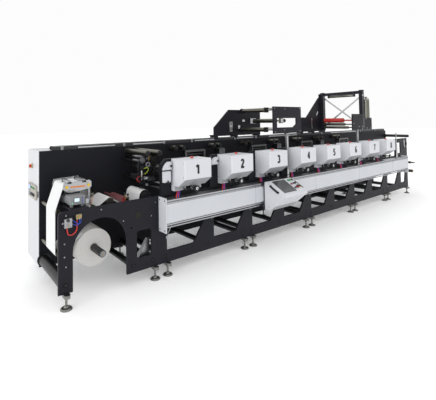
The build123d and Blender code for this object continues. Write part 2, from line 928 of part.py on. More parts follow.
# Shafts and a roller at the winding end, fixed to the back wall
with BuildPart() as winding_shafts:
    for y, z, radius in ((93, 662, 14), (188, 662, 30), (152, 440, 38), (222, 1360, 38)):
        with BuildSketch(facing(y)):
            with Locations((right_end - 83, z)):
                Circle(radius)
        extrude(amount=-(wall_spacing - y))
finish(winding_shafts.part, "winding_shafts")

# Upright with a cross handle beside the last unit
handle_u = frame_end + 405.0
handle_step = 1240.0
with BuildPart() as screw_post:
    with BuildSketch(level(duct_top)):
        with Locations((handle_u, -80)):
            Circle(24)
    extrude(amount=handle_step - duct_top)
    with BuildSketch(level(handle_step)):
        with Locations((handle_u, -80)):
            Circle(10)
    extrude(amount=1490 - handle_step)
    with BuildSketch(across(handle_u - 50)):
        with Locations((-80, 1485)):
            Circle(8)
    extrude(amount=100)
finish(screw_post.part, "screw_post")

# Two rails along the top of the back wall
rail_low = wall_top + rail_bed
rail_rows = (rail_first, rail_second)
with BuildPart() as top_rails:
    with BuildSketch(across(rail_start)):
        for y in rail_rows:
            with Locations((y, rail_low)):
                Rectangle(rail_section, rail_section, align=(Align.MIN, Align.MIN))
            with Locations((y + 6, wall_top)):
                Rectangle(rail_section - 12, rail_bed, align=(Align.MIN, Align.MIN))
    extrude(amount=rail_end - rail_start)
finish(top_rails.part, "top_rails")

rail_top = rail_low + rail_section
bed_back = rail_second + rail_section + 12


def slide_section(u):
    """Section of the slides that wrap both rails."""
    with BuildSketch(across(u)) as section:
        for y in rail_rows:
            with Locations((y + rail_section / 2, bed_low)):
                Rectangle(rail_section + 16, bed_low - rail_low - 8, align=(Align.CENTER, Align.MAX))
            with Locations((y + rail_section / 2, rail_top + slide_clearance)):
                Rectangle(
                    rail_section + 2 * slide_clearance,
                    60,
                    align=(Align.CENTER, Align.MAX),
                    mode=Mode.SUBTRACT,
                )
    return section.sketch


def bed_section(u):
    """Section of the bed above the slides."""
    with BuildSketch(across(u)) as section:
        with Locations((wall_spacing, bed_low)):
            Rectangle(bed_back - wall_spacing, gantry_bottom - bed_low, align=(Align.MIN, Align.MIN))
    return section.sketch


span_front = -gantry_front + gantry_plate
slide_length = 80.0
post_low = duct_top + shoe_clearance
post_y = -gantry_front + post_depth / 2

# Gantry 1: chamfered back plate, front plate with a window, three web rollers and a post
back_1_left = 1592.0
back_1_right = 2748.0
plate_low = 1622.0
with BuildPart() as gantry_1_back:
    with BuildSketch(facing(wall_spacing)):
        Polygon(
            (back_1_left, gantry_bottom),
            (back_1_left, 1718),
            (back_1_left + 350, 2022),
            (back_1_right, 2022),
            (back_1_right, gantry_bottom),
            align=None,
        )
    extrude(amount=-gantry_plate)
    extrude(bed_section(back_1_left), amount=back_1_right - back_1_left)
    for u in (back_1_left + 10, back_1_left + 480, back_1_right - 90):
        extrude(slide_section(u), amount=slide_length)
finish(gantry_1_back.part, "gantry_1_back")

with BuildPart() as gantry_1_front:
    with BuildSketch(facing(-gantry_front)):
        with Locations((1978, plate_low)):
            Rectangle(704, 419, align=(Align.MIN, Align.MIN))
        Polygon(
            (2061, 1860),
            (2558, 1860),
            (2558, 1765),
            (2480, 1715),
            (2061, 1715),
            align=None,
            mode=Mode.SUBTRACT,
        )
    extrude(amount=-gantry_plate)
finish(gantry_1_front.part, "gantry_1_front")

full_rollers = ((2255, 2001), (2240, 1674))
span_radius = 36.0
with BuildPart() as gantry_1_rollers:
    with BuildSketch(facing(276)):
        with Locations(*full_rollers, (2532, 1820)):
            Circle(span_radius)
    extrude(amount=-(wall_spacing - 276 - 40))
    with BuildSketch(facing(span_front)):
        with Locations(*full_rollers):
            Circle(13)
    extrude(amount=-(wall_spacing - span_front))
    with BuildSketch(facing(110)):
        with Locations((2532, 1820)):
            Circle(13)
    extrude(amount=-(wall_spacing - 110))
    with BuildSketch(facing(160)):
        with Locations((2532, 1820)):
            Rectangle(70, 84)
    extrude(amount=-40)
finish(gantry_1_rollers.part, "gantry_1_rollers")

with BuildPart() as gantry_1_post:
    with BuildSketch(level(post_low)):
        with Locations((2310, post_y)):
            Rectangle(post_width, post_depth)
    extrude(amount=plate_low - post_low)
finish(gantry_1_post.part, "gantry_1_post")

# Gantry 2: slanted back plate, braced portal, front plate, rollers and a post
back_2_left = 4027.0
back_2_right = 4968.0
tower_top = 2425.0
tower_back = wall_spacing - tower_depth
with BuildPart() as gantry_2_back:
    with BuildSketch(facing(wall_spacing)):
        Polygon(
            (back_2_left, gantry_bottom),
            (back_2_left, 1880),
            (back_2_left + 217, 1880),
            (4726, 2317),
            (4755, 2317),
            (4755, 2400),
            (back_2_right - 40, 2400),
            (back_2_right, 2300),
            (back_2_right, gantry_bottom),
            align=None,
        )
    extrude(amount=-gantry_plate)
    extrude(bed_section(back_2_left), amount=back_2_right - back_2_left)
    for u in (back_2_left + 10, back_2_left + 430, back_2_right - 90):
        extrude(slide_section(u), amount=slide_length)
    with BuildSketch(level(gantry_bottom)):
        with Locations((tower_u, tower_back + tower_depth / 2)):
            Rectangle(tower_width, tower_depth)
    extrude(amount=tower_top - gantry_bottom)
finish(gantry_2_back.part, "gantry_2_back")

front_2_low = 1611.0
with BuildPart() as gantry_2_front:
    with BuildSketch(facing(-gantry_front)):
        Polygon(
            (4383, front_2_low),
            (4383, 1931),
            (4880, 1931),
            (4880, 1854),
            (5168, 1854),
            (5168, front_2_low),
            align=None,
        )
    extrude(amount=-gantry_plate)
    with BuildSketch(level(front_2_low)):
        with Locations((tower_u, -gantry_front + tower_depth / 2)):
            Rectangle(tower_width, tower_depth)
    extrude(amount=tower_top - front_2_low)
finish(gantry_2_front.part, "gantry_2_front")

tower_front = -gantry_front + tower_depth
with BuildPart() as gantry_2_beam:
    with BuildSketch(facing(tower_front)):
        with Locations((tower_u, 2380)):
            Rectangle(60, 60)
    extrude(amount=-(tower_back - tower_front))
    with BuildSketch(facing(tower_front + 120)):
        with Locations((tower_u, 2322)):
            Circle(24)
    extrude(amount=-(tower_back - tower_front - 240))
    with BuildSketch(facing(tower_front + 100)):
        with Locations((tower_u, 2330)):
            Rectangle(50, 70)
    extrude(amount=-20)
    with BuildSketch(facing(tower_back - 120)):
        with Locations((tower_u, 2330)):
            Rectangle(50, 70)
    extrude(amount=-20)
finish(gantry_2_beam.part, "gantry_2_beam")

brace_high = 2290.0
brace_low = 1690.0
brace_run = tower_back - tower_front
brace_rise = brace_high - brace_low
brace_angle = math.degrees(math.atan2(brace_rise, brace_run))
brace_span = math.hypot(brace_rise, brace_run)
centre_y = (tower_back + tower_front) / 2
centre_z = (brace_high + brace_low) / 2
with BuildPart() as gantry_2_braces:
    with BuildSketch(across(tower_u + tower_width / 2 - brace_depth)):
        for angle in (brace_angle, -brace_angle):
            with Locations((centre_y, centre_z)):
                Rectangle(brace_span + 60, brace_width, rotation=angle)
        with Locations((tower_front, centre_z)):
            Rectangle(200, 900, align=(Align.MAX, Align.CENTER), mode=Mode.SUBTRACT)
        with Locations((tower_back, centre_z)):
            Rectangle(200, 900, align=(Align.MIN, Align.CENTER), mode=Mode.SUBTRACT)
    extrude(amount=brace_depth)
finish(gantry_2_braces.part, "gantry_2_braces")

roller_u = tower_u - roller_inset
with BuildPart() as gantry_2_rollers:
    for z, radius, near in ((1722, 30, 270), (1655, 28, 200)):
        with BuildSketch(facing(near)):
            with Locations((roller_u, z)):
                Circle(radius)
        extrude(amount=-(tower_back - near - 20))
        with BuildSketch(facing(tower_front)):
            with Locations((roller_u, z)):
                Circle(13)
        extrude(amount=-(tower_back - tower_front))
finish(gantry_2_rollers.part, "gantry_2_rollers")

with BuildPart() as red_roller:
    with BuildSketch(facing(301)):
        with Locations((roller_u, 1806)):
            Circle(48)
    extrude(amount=-(tower_back - 321))
    with BuildSketch(facing(tower_front)):
        with Locations((roller_u, 1806)):
            Circle(15)
    extrude(amount=-(tower_back - tower_front))
finish(red_roller.part, "red_roller")

turning_u = tower_u + 134.0
with BuildPart() as turning_bar:
    with BuildSketch(level(1854)):
        with Locations((turning_u, -gantry_front + gantry_plate / 2)):
            Circle(64)
    extrude(amount=374)
    with BuildSketch(level(2228)):
        with Locations((turning_u, -gantry_front + gantry_plate / 2)):
            Circle(14)
    extrude(amount=60)
    with BuildSketch(level(2264)):
        with Locations((tower_u + tower_width / 2, -gantry_front + gantry_plate / 2)):
            Rectangle(turning_u + 50 - tower_u - tower_width / 2, 22, align=(Align.MIN, Align.CENTER))
    extrude(amount=22)
finish(turning_bar.part, "turning_bar")

with BuildPart() as gantry_2_post:
    with BuildSketch(level(post_low)):
        with Locations((4568, post_y)):
            Rectangle(post_width, post_depth)
    extrude(amount=front_2_low - post_low)
finish(gantry_2_post.part, "gantry_2_post")
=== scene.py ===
import bpy
import bmesh
import math
from mathutils import Matrix, Vector


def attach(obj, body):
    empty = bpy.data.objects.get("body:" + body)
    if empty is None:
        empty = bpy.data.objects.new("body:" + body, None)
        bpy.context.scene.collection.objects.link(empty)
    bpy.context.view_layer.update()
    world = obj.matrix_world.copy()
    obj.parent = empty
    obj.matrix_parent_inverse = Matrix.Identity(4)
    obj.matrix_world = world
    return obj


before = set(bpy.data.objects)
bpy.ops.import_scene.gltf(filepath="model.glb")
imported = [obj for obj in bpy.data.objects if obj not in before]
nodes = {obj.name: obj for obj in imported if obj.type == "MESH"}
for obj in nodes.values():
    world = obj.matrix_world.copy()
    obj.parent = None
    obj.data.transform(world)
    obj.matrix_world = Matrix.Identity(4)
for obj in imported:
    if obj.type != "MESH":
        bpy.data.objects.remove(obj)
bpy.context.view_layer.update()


# Places are given as in the part's source: u along the press from the joint between the
# unwinder and the first frame, y back from the front plates' face, z up, in millimetres.
JOINT = -3412.0
FACE = -452.5
PITCH = 750.0
UNITS = 8
MODULE = 2 * PITCH
UNIT_STARTS = [PITCH * k for k in range(UNITS)]
MODULE_STARTS = UNIT_STARTS[::2]

# Planes and places that several pieces share
FRONT = (0, -1, 0)
WALL_FACE = 820
GANTRY_FACE = -110
HOOD_LEFT = 132
HOOD_RIGHT = 541
HOOD_FACE = -307
HOOD_TOP = 1382
KNOB_U = 314
KNOB_Y = -206
WHEEL_U = 326
WHEEL_Z = 1037
WEB_ROLLERS_U = (-30, 109)
WEB_ROLLERS_Z = 1436
REEL_U = -733
REEL_Z = 449
NIP_U = -348
INFEED_U = -85
DUCT_LEFT = -19
DUCT_RIGHT = 6836


def at(u, y, z):
    return Vector(((JOINT + u) / 1000, (FACE + y) / 1000, z / 1000))


# Materials

def new_material(name):
    material = bpy.data.materials.new(name)
    material.use_nodes = True
    tree = material.node_tree
    shader = tree.nodes["Principled BSDF"]
    return material, tree, shader


def link(name, data):
    """A new object in the scene."""
    made = bpy.data.objects.new(name, data)
    bpy.context.scene.collection.objects.link(made)
    return made


def feed(tree, socket, value):
    """Sets a socket's fixed value, or links it to another one's output."""
    if isinstance(value, (int, float, tuple)):
        socket.default_value = value
    else:
        tree.links.new(value, socket)


def fill(tree, node, values):
    """Feeds inputs of a node by their names."""
    for name, value in values.items():
        feed(tree, node.inputs[name], value)


def coords(tree, stretch=(1, 1, 1)):
    place = tree.nodes.new("ShaderNodeTexCoord")
    mapping = tree.nodes.new("ShaderNodeMapping")
    fill(tree, mapping, {"Scale": stretch, "Vector": place.outputs["Object"]})
    return mapping.outputs["Vector"]


def noise(tree, vector, scale, detail=4.0, rough=0.55):
    node = tree.nodes.new("ShaderNodeTexNoise")
    fill(tree, node, {"Scale": scale, "Detail": detail, "Roughness": rough, "Vector": vector})
    return node.outputs["Fac"]


def ramp(tree, factor, stops):
    node = tree.nodes.new("ShaderNodeValToRGB")
    while len(node.color_ramp.elements) < len(stops):
        node.color_ramp.elements.new(0.5)
    for element, (position, colour) in zip(node.color_ramp.elements, stops):
        element.position = position
        element.color = (*colour, 1.0)
    fill(tree, node, {"Fac": factor})
    return node.outputs["Color"]


def bump(tree, shader, height, strength, distance):
    node = tree.nodes.new("ShaderNodeBump")
    fill(tree, node, {"Strength": strength, "Distance": distance, "Height": height})
    fill(tree, shader, {"Normal": node.outputs["Normal"]})


def mix(tree, factor, first, second):
    node = tree.nodes.new("ShaderNodeMix")
    node.data_type = "RGBA"
    feed(tree, node.inputs[0], factor)
    for value, socket in ((first, node.inputs[6]), (second, node.inputs[7])):
        feed(tree, socket, (*value, 1.0) if isinstance(value, tuple) else value)
    return node.outputs[2]


def shade(colour, factor):
    return tuple(min(1.0, c * factor) for c in colour)


def roughness(tree, shader, factor, low, high, rough):
    """Roughness that varies between two shares of its value; low and high are (position, share)."""
    stops = [(position, (min(1, rough * share),) * 3) for position, share in (low, high)]
    fill(tree, shader, {"Roughness": ramp(tree, factor, stops)})


def painted(name, colour, rough=0.42, grain=420.0, peel=0.12, spread=0.14, coat=0.0, edge_highlight=0.0, level=0.5):
    """Powder coat or enamel: cloudy colour, fine orange peel, and lighter convex edges, a painted edge
    highlight.
    """
    material, tree, shader = new_material(name)
    vector = coords(tree)
    cloud = noise(tree, vector, 1.7, 5.0)
    colour_out = ramp(tree, cloud, [(0.3, shade(colour, 1 - spread)), (0.72, shade(colour, 1 + spread))])
    speck = noise(tree, vector, 55.0, 6.0, 0.7)
    speckled = ramp(tree, speck, [(0.40, (0, 0, 0)), (0.78, (1, 1, 1))])
    colour_out = mix(tree, speckled, colour_out, shade(colour, 1 + spread * 1.3))
    # Painted edge highlight: convex edges, found by pointiness, are lightened
    if edge_highlight:
        geometry = tree.nodes.new("ShaderNodeNewGeometry")
        edge_highlight_mask = ramp(tree, geometry.outputs["Pointiness"], [(0.515, (0, 0, 0)), (0.56, (edge_highlight, edge_highlight, edge_highlight))])
        colour_out = mix(tree, edge_highlight_mask, colour_out, shade(colour, 2.6))
    fill(tree, shader, {"Base Color": colour_out})
    roughness(tree, shader, speck, (0.25, 0.86), (0.8, 1.18), rough)
    fill(tree, shader, {"Specular IOR Level": level})
    if coat:
        fill(tree, shader, {"Coat Weight": coat, "Coat Roughness": 0.12})
    peel_out = noise(tree, vector, grain, 2.0)
    bump(tree, shader, peel_out, peel, 0.0006)
    return material


def brushed(name, colour, rough=0.3, along=(1, 60, 60), spread=0.12, strength=0.1):
    """Machined or brushed metal, with fine lines along one axis and faint smudges."""
    material, tree, shader = new_material(name)
    lines = noise(tree, coords(tree, along), 22.0, 5.0, 0.65)
    smudge = noise(tree, coords(tree), 6.0, 4.0)
    colour_out = ramp(tree, lines, [(0.25, shade(colour, 1 - spread)), (0.75, shade(colour, 1 + spread))])
    dull = ramp(tree, smudge, [(0.35, (0, 0, 0)), (0.75, (0.35, 0.35, 0.35))])
    colour_out = mix(tree, dull, colour_out, shade(colour, 0.8))
    fill(tree, shader, {"Base Color": colour_out, "Metallic": 1.0})
    roughness(tree, shader, lines, (0.2, 0.75), (0.8, 1.3), rough)
    bump(tree, shader, lines, strength, 0.0004)
    return material


def moulded(name, colour, rough=0.35, grain=260.0, strength=0.1, spread=0.08, sheen=0.0, level=0.4):
    """Moulded plastic or rubber with a fine grain."""
    material, tree, shader = new_material(name)
    vector = coords(tree)
    cloud = noise(tree, vector, 14.0, 4.0)
    colour_out = ramp(tree, cloud, [(0.3, shade(colour, 1 - spread)), (0.75, shade(colour, 1 + spread))])
    fill(tree, shader, {"Base Color": colour_out})
    fine = noise(tree, vector, grain, 3.0)
    roughness(tree, shader, fine, (0.3, 0.85), (0.75, 1.15), rough)
    fill(tree, shader, {"Specular IOR Level": level})
    if sheen:
        fill(tree, shader, {"Sheen Weight": sheen})
    bump(tree, shader, fine, strength, 0.0005)
    return material


def reel_side(name, colour, centre, pitch=620.0):
    """Wound paper: fine rings on the sides of the reel, soft fibre elsewhere."""
    material, tree, shader = new_material(name)
    place = tree.nodes.new("ShaderNodeTexCoord")
    split = tree.nodes.new("ShaderNodeSeparateXYZ")
    tree.links.new(place.outputs["Object"], split.inputs[0])

    def math_node(operation, a, b):
        node = tree.nodes.new("ShaderNodeMath")
        node.operation = operation
        feed(tree, node.inputs[0], a)
        feed(tree, node.inputs[1], b)
        return node.outputs[0]

    dx = math_node("SUBTRACT", split.outputs[0], centre.x)
    dz = math_node("SUBTRACT", split.outputs[2], centre.z)
    square = math_node("ADD", math_node("POWER", dx, 2.0), math_node("POWER", dz, 2.0))
    radius = math_node("POWER", square, 0.5)

    def ring_noise(scale, detail):
        node = tree.nodes.new("ShaderNodeTexNoise")
        node.noise_dimensions = "1D"
        fill(tree, node, {"Scale": scale, "Detail": detail, "W": radius})
        return node.outputs["Fac"]

    ring = ring_noise(pitch, 3.0)
    broad = ring_noise(60.0, 2.0)
    tone = mix(tree, broad, shade(colour, 0.86), shade(colour, 1.06))
    fine = ramp(tree, ring, [(0.3, (0.0, 0.0, 0.0)), (0.75, (0.5, 0.5, 0.5))])
    colour_out = mix(tree, fine, tone, shade(colour, 0.74))
    fill(tree, shader, {"Base Color": colour_out, "Roughness": 0.8})
    bump(tree, shader, ring, 0.35, 0.0006)
    return material


# The two blacks carry a faint painted edge highlight on convex edges
BLACK = painted("charcoal_powder_coat", (0.0105, 0.0105, 0.0145), 0.44, 380, 0.16, 0.16, edge_highlight=0.12,
                level=0.14)
WALL = painted("wall_powder_coat", (0.0085, 0.0088, 0.0118), 0.5, 300, 0.14, 0.2, edge_highlight=0.12, level=0.12)
CABINET = painted("cabinet_paint", (0.56, 0.57, 0.59), 0.42, 300, 0.12, 0.03, level=0.35)
COVER = painted("cover_paint", (0.595, 0.605, 0.64), 0.34, 260, 0.08, 0.025, coat=0.15, level=0.3)
# Darker copy of the cover paint: painted shade on the hoods' undersides, the hood legs' fronts and the
# panel's underside
COVER_PAINTED_SHADE = painted("cover_painted_shade", (0.30, 0.305, 0.32), 0.4, 260, 0.08, 0.05, level=0.3)
DUCT = brushed("anodised_duct", (0.47, 0.48, 0.50), 0.42, (0.5, 50, 50), spread=0.06, strength=0.05)
DUCT_FACE = painted("duct_face_paint", (0.55, 0.565, 0.60), 0.38, 240, 0.07, 0.03, level=0.3)
BRIGHT = brushed("bright_steel", (0.42, 0.42, 0.43), 0.26, (60, 1.2, 60))
ZINC = brushed("zinc_plate", (0.36, 0.365, 0.38), 0.36, (12, 12, 12), spread=0.2)
RAIL = brushed("ground_rail", (0.50, 0.505, 0.52), 0.32, (1.2, 50, 50), spread=0.08)
DARK = brushed("blued_steel", (0.060, 0.060, 0.063), 0.4, (20, 20, 20), spread=0.25)
FOOT = brushed("foot_steel", (0.24, 0.24, 0.225), 0.36, (12, 12, 30), spread=0.35)
OLIVE = brushed("anodised_roller", (0.175, 0.170, 0.142), 0.34, (60, 1.2, 60), spread=0.16)
GREY = brushed("anodised_grey", (0.22, 0.22, 0.225), 0.4, (40, 1.2, 40), spread=0.12)
CERAMIC = brushed("engraved_roller", (0.085, 0.085, 0.088), 0.48, (90, 4, 90), spread=0.2)
GLASS = painted("screen_bezel", (0.035, 0.037, 0.040), 0.16, 80, 0.02, 0.1, coat=0.4, level=0.4)
PLASTIC = moulded("black_plastic", (0.012, 0.012, 0.013), 0.42, level=0.25)
RED = moulded("red_plastic", (0.50, 0.022, 0.016), 0.32)
YELLOW = moulded("yellow_plastic", (0.70, 0.46, 0.02), 0.36)
GREEN = moulded("green_plastic", (0.02, 0.34, 0.07), 0.3)
BLUE = moulded("blue_hose", (0.018, 0.050, 0.34), 0.34)
RED_HOSE = moulded("red_hose", (0.52, 0.03, 0.02), 0.34)
LIME = moulded("lime_hose", (0.34, 0.44, 0.05), 0.34)
WHITE = moulded("white_plastic", (0.66, 0.67, 0.69), 0.34, spread=0.04)
BEIGE = moulded("beige_plastic", (0.36, 0.345, 0.30), 0.45, spread=0.05)
BOX_GREY = moulded("grey_plastic", (0.20, 0.205, 0.215), 0.45, spread=0.05)
RUBBER = moulded("black_rubber", (0.010, 0.010, 0.011), 0.62, grain=180, strength=0.2, level=0.25)
RED_RUBBER = moulded("red_rubber", (0.44, 0.030, 0.024), 0.42, grain=180, strength=0.12, sheen=0.05)
MAROON = moulded("maroon_rubber", (0.165, 0.058, 0.062), 0.45, grain=180, strength=0.12)
OLIVE_CAP = moulded("olive_cap", (0.017, 0.016, 0.012), 0.6, level=0.2)
BRASS = brushed("brass", (0.36, 0.27, 0.12), 0.28, (20, 20, 20), spread=0.2)
ORANGE = moulded("orange_strip", (0.72, 0.20, 0.025), 0.4)
PAPER = painted("web_paper", (0.71, 0.712, 0.715), 0.75, 900, 0.12, 0.02, level=0.2)
REEL = reel_side("reel_paper", (0.68, 0.67, 0.65), at(REEL_U, 0, REEL_Z))
NUMERAL = moulded("numeral_vinyl", (0.010, 0.010, 0.011), 0.34, strength=0.05, level=0.3)
# Near-black paint used as painted shadow in slots, holes, screw sockets, louvres and narrow gaps
RECESS_SHADOW = painted("recess_shadow_paint", (0.004, 0.004, 0.0045), 0.7, peel=0.05, spread=0.2, level=0.1)


def glow(name, colour, strength):
    """A lit display or lamp."""
    material, tree, shader = new_material(name)
    fine = noise(tree, coords(tree), 300.0, 2.0)
    lit = ramp(tree, fine, [(0.3, shade(colour, 0.9)), (0.7, shade(colour, 1.08))])
    fill(tree, shader, {"Base Color": lit, "Emission Color": lit})
    fill(tree, shader, {"Emission Strength": strength, "Roughness": 0.2})
    return material


LCD = glow("lit_display", (0.62, 0.74, 0.80), 0.25)
LCD_BLUE = glow("blue_display", (0.30, 0.42, 0.85), 0.25)
SCREEN = glow("touch_screen", (0.085, 0.09, 0.095), 0.05)
SCREEN_TILE = glow("screen_tile", (0.16, 0.172, 0.18), 0.06)
LED = glow("green_led", (0.05, 0.80, 0.30), 0.5)

node_materials = {
    BLACK: """unwind_front_plate front_frame_1 front_frame_2 front_frame_3 front_frame_4
        delivery_front_plate gantry_1_back gantry_1_front gantry_2_back gantry_2_front gantry_2_beam
        control_carriage""",
    WALL: "back_wall unit_side_plates",
    CABINET: "rear_cabinets cabinet_doors",
    COVER: "print_hoods ink_covers control_box",
    DUCT: "service_duct panel_rail",
    DUCT_FACE: "duct_end_plates",
    BRIGHT: "screw_post gantry_1_post gantry_2_post web_guide",
    RAIL: "gantry_2_braces",
    DARK: "unwind_bearing winding_shafts unwind_shaft top_rails tie_bars",
    FOOT: "feet",
    OLIVE: """web_rollers gantry_1_rollers plate_cylinders unwind_idlers web_guide_rollers turning_bar
        gantry_2_rollers""",
    GREY: "impression_cylinders web_brackets",
    CERAMIC: "anilox_rollers",
    ZINC: "air_valve",
    GLASS: "control_screen",
    PLASTIC: "control_handles handwheels dryer_heads infeed_roller control_buttons",
    RED: "hood_knobs",
    BEIGE: "side_controls",
    BOX_GREY: "guide_controller",
    RED_HOSE: "ink_hoses",
    RED_RUBBER: "red_roller",
    MAROON: "nip_roller",
    PAPER: "paper_web",
    REEL: "paper_roll",
}
for material, names in node_materials.items():
    for name in names.split():
        mesh = nodes[name].data
        mesh.materials.clear()
        mesh.materials.append(material)


# Shapes

SHAPES = []


class Shape:
    """Gathers several solids with their own materials into one piece, whose mesh is filled at the end."""

    def __init__(self, name, slot, body="press"):
        self.mesh = bmesh.new()
        self.materials = []
        self.data = bpy.data.meshes.new(name)
        piece = link(name, self.data)
        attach(piece, body)
        SHAPES.append(self)

    def take(self, faces, material, smooth=False):
        if material not in self.materials:
            self.materials.append(material)
        number = self.materials.index(material)
        for face in faces:
            face.material_index = number
            face.smooth = smooth

    def break_edges(self, faces, width, material):
        """Rounds off every edge of a solid's faces, by a width in millimetres."""
        edges = {e for f in faces for e in f.edges}
        made = bmesh.ops.bevel(
            self.mesh, geom=list(edges), offset=width / 1000, segments=2, profile=0.6, affect="EDGES"
        )
        self.take(made["faces"], material, True)

    def circle(self, origin, turn, radius, height, sides):
        """Corners round an axis, the radius in millimetres and the height along it in metres."""
        corners = []
        for k in range(sides):
            angle = 2 * math.pi * k / sides
            spot = Vector((math.cos(angle) * radius / 1000, math.sin(angle) * radius / 1000, height))
            corners.append(self.mesh.verts.new(origin + turn @ spot))
        return corners

    def bridge(self, lower, upper):
        """Faces between two circles of corners."""
        faces = []
        for k in range(len(lower)):
            n = (k + 1) % len(lower)
            faces.append(self.mesh.faces.new((lower[k], lower[n], upper[n], upper[k])))
        return faces

    def box(self, low, high, material, edge=0.0):
        """A box between two corners (u, y, z), with its edges broken."""
        a = at(*low)
        b = at(*high)
        size = Vector((abs(b.x - a.x), abs(b.y - a.y), abs(b.z - a.z)))
        place = Matrix.Translation((a + b) / 2) @ Matrix.Diagonal((*size, 1))
        made = bmesh.ops.create_cube(self.mesh, size=1.0, matrix=place)
        faces = {f for v in made["verts"] for f in v.link_faces}
        self.take(faces, material)
        if edge:
            self.break_edges(faces, edge, material)

    def rod(self, start, end, radius, material, top=None, sides=20, edge=0.0):
        """A round bar or cone between two points (u, y, z), its rims broken."""
        a = at(*start)
        axis = at(*end) - a
        length = axis.length
        top = radius if top is None else top
        turn = axis.to_track_quat("Z", "Y").to_matrix().to_4x4()
        rings = [(0.0, radius), (length, top)]
        e = edge / 1000
        if edge and length > 2.2 * e:
            rings = [(0.0, radius - edge), (e, radius), (length - e, top), (length, top - edge)]
        loops = [self.circle(a, turn, r, height, sides) for height, r in rings]
        for lower, upper in zip(loops, loops[1:]):
            self.take(self.bridge(lower, upper), material, True)
        ends = [self.mesh.faces.new(loops[0][::-1]), self.mesh.faces.new(loops[-1])]
        self.take(ends, material)

    def pin(self, u, z, start, end, radius, material, **form):
        """A rod straight across the press, between two values of y."""
        self.rod((u, start, z), (u, end, z), radius, material, **form)

    def post(self, u, y, low, high, radius, material, **form):
        """An upright rod, between two values of z."""
        self.rod((u, y, low), (u, y, high), radius, material, **form)

    def ring(self, centre, axis, outer, inner, depth, material, sides=28):
        """A flat ring whose hole shows, lying on the plane through its centre."""
        a = at(*centre)
        turn = Vector(axis).normalized().to_track_quat("Z", "Y").to_matrix().to_4x4()
        corners = ((outer, 0), (outer, depth), (inner, depth), (inner, 0))
        loops = [self.circle(a, turn, r, h / 1000, sides) for r, h in corners]
        for i in range(4):
            self.take(self.bridge(loops[i], loops[(i + 1) % 4]), material)

    def prism(self, points, depth, material, edge=0.0):
        """A prism from a closed line of points (u, y, z), pushed along a vector in millimetres."""
        push = Vector(depth) / 1000
        low = [self.mesh.verts.new(at(*p)) for p in points]
        high = [self.mesh.verts.new(at(*p) + push) for p in points]
        faces = [self.mesh.faces.new(low), self.mesh.faces.new(high[::-1])]
        for k in range(len(points)):
            n = (k + 1) % len(points)
            faces.append(self.mesh.faces.new((low[n], low[k], high[k], high[n])))
        self.take(faces, material)
        if edge:
            self.break_edges(faces, edge, material)

    def screw(self, centre, axis, radius, height, material=BRIGHT):
        """A socket head cap screw: chamfered head with a dark hexagon of painted shadow in its socket."""
        n = Vector(axis).normalized()
        c = Vector(centre)
        self.rod(c, c + n * height, radius, material, sides=18, edge=radius * 0.14)
        top = c + n * (height + 0.05)
        self.rod(top - n * 0.6, top, radius * 0.5, RECESS_SHADOW, sides=6)

    def screws(self, places, y, radius, height, material=BRIGHT):
        """Screws at several (u, z) of one plane, facing the front."""
        for u, z in places:
            self.screw((u, y, z), FRONT, radius, height, material)

    def done(self):
        bmesh.ops.recalc_face_normals(self.mesh, faces=self.mesh.faces)
        self.mesh.to_mesh(self.data)
        self.mesh.free()
        for material in self.materials:
            self.data.materials.append(material)


def tube(name, points, radius, material, resolution=8):
    """A short fixed hose or cable on a smooth line through its points."""
    curve = bpy.data.curves.new(name, "CURVE")
    curve.dimensions = "3D"
    spline = curve.splines.new("NURBS")
    spline.points.add(len(points) - 1)
    for point, place in zip(spline.points, points):
        point.co = (*at(*place), 1.0)
    spline.order_u = 3
    spline.use_endpoint_u = True
    curve.bevel_depth = radius / 1000
    curve.bevel_resolution = 3
    curve.resolution_u = resolution
    curve.use_fill_caps = True
    curve.materials.append(material)
    piece = link(name, curve)
    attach(piece, "press")


# Numerals, on the front faces of the hoods: strokes in a box 64 wide and 114 high

def arc(centre, radius, first, last, steps=16):
    """Points on a round stroke, angles in degrees."""
    angles = [math.radians(first + (last - first) * k / steps) for k in range(steps + 1)]
    return [(centre[0] + radius * math.cos(a), centre[1] + radius * math.sin(a)) for a in angles]


STROKES = {
    1: [[(6, -57), (6, 48)], [(6, 44), (-26, 28)]],
    2: [arc((0, 27), 21, 165, -35) + [(-20, -46)], [(-30, -47), (31, -47)]],
    3: [arc((-1, 26), 20, 150, -85), arc((-1, -23), 24, 85, -150)],
    4: [[(10, -57), (10, 57)], [(8, 50), (-24, -16)], [(-31, -23), (31, -23)]],
    5: [[(26, 47), (-18, 47)], [(-15, 50), (-19, 2)], arc((-2, -20), 26, 125, -150)],
    6: [arc((0, -24), 22, 0, 360, 24), [(21, 36), (10, 46), (-4, 44), (-15, 28), (-22, 2), (-22, -24)]],
    7: [[(-30, 47), (29, 47)], [(21, 46), (2, 6), (-8, -57)]],
    8: [arc((0, 26), 20, 0, 360, 24), arc((0, -23), 24, 0, 360, 24)],
}
STROKE_WIDTH = 30
NUMERAL_U = 327
NUMERAL_Z = 1268


def numeral(n):
    start = PITCH * (n - 1)
    figure = Shape("numeral_" + str(n), "black_plastic")
    for order, points in enumerate(STROKES[n]):
        last = len(points) - 1
        closed = math.dist(points[0], points[-1]) < 0.01
        sides = []
        for k, (x, z) in enumerate(points):
            before = points[max(k - 1, 0)]
            after = points[min(k + 1, last)]
            if closed:
                before = points[k - 1] if k else points[-2]
                after = points[k + 1] if k < last else points[1]
            run = math.dist(before, after)
            dx = -(after[1] - before[1]) / run * STROKE_WIDTH / 2
            dz = (after[0] - before[0]) / run * STROKE_WIDTH / 2
            sides.append(((x + dx, z + dz), (x - dx, z - dz)))
        for (a, b), (c, d) in zip(sides, sides[1:]):
            corners = [(start + NUMERAL_U + x, HOOD_FACE, NUMERAL_Z + z) for x, z in (a, c, d, b)]
            figure.prism(corners, (0, -1.0 - 0.1 * order, 0), NUMERAL)


for n in range(1, UNITS + 1):
    numeral(n)
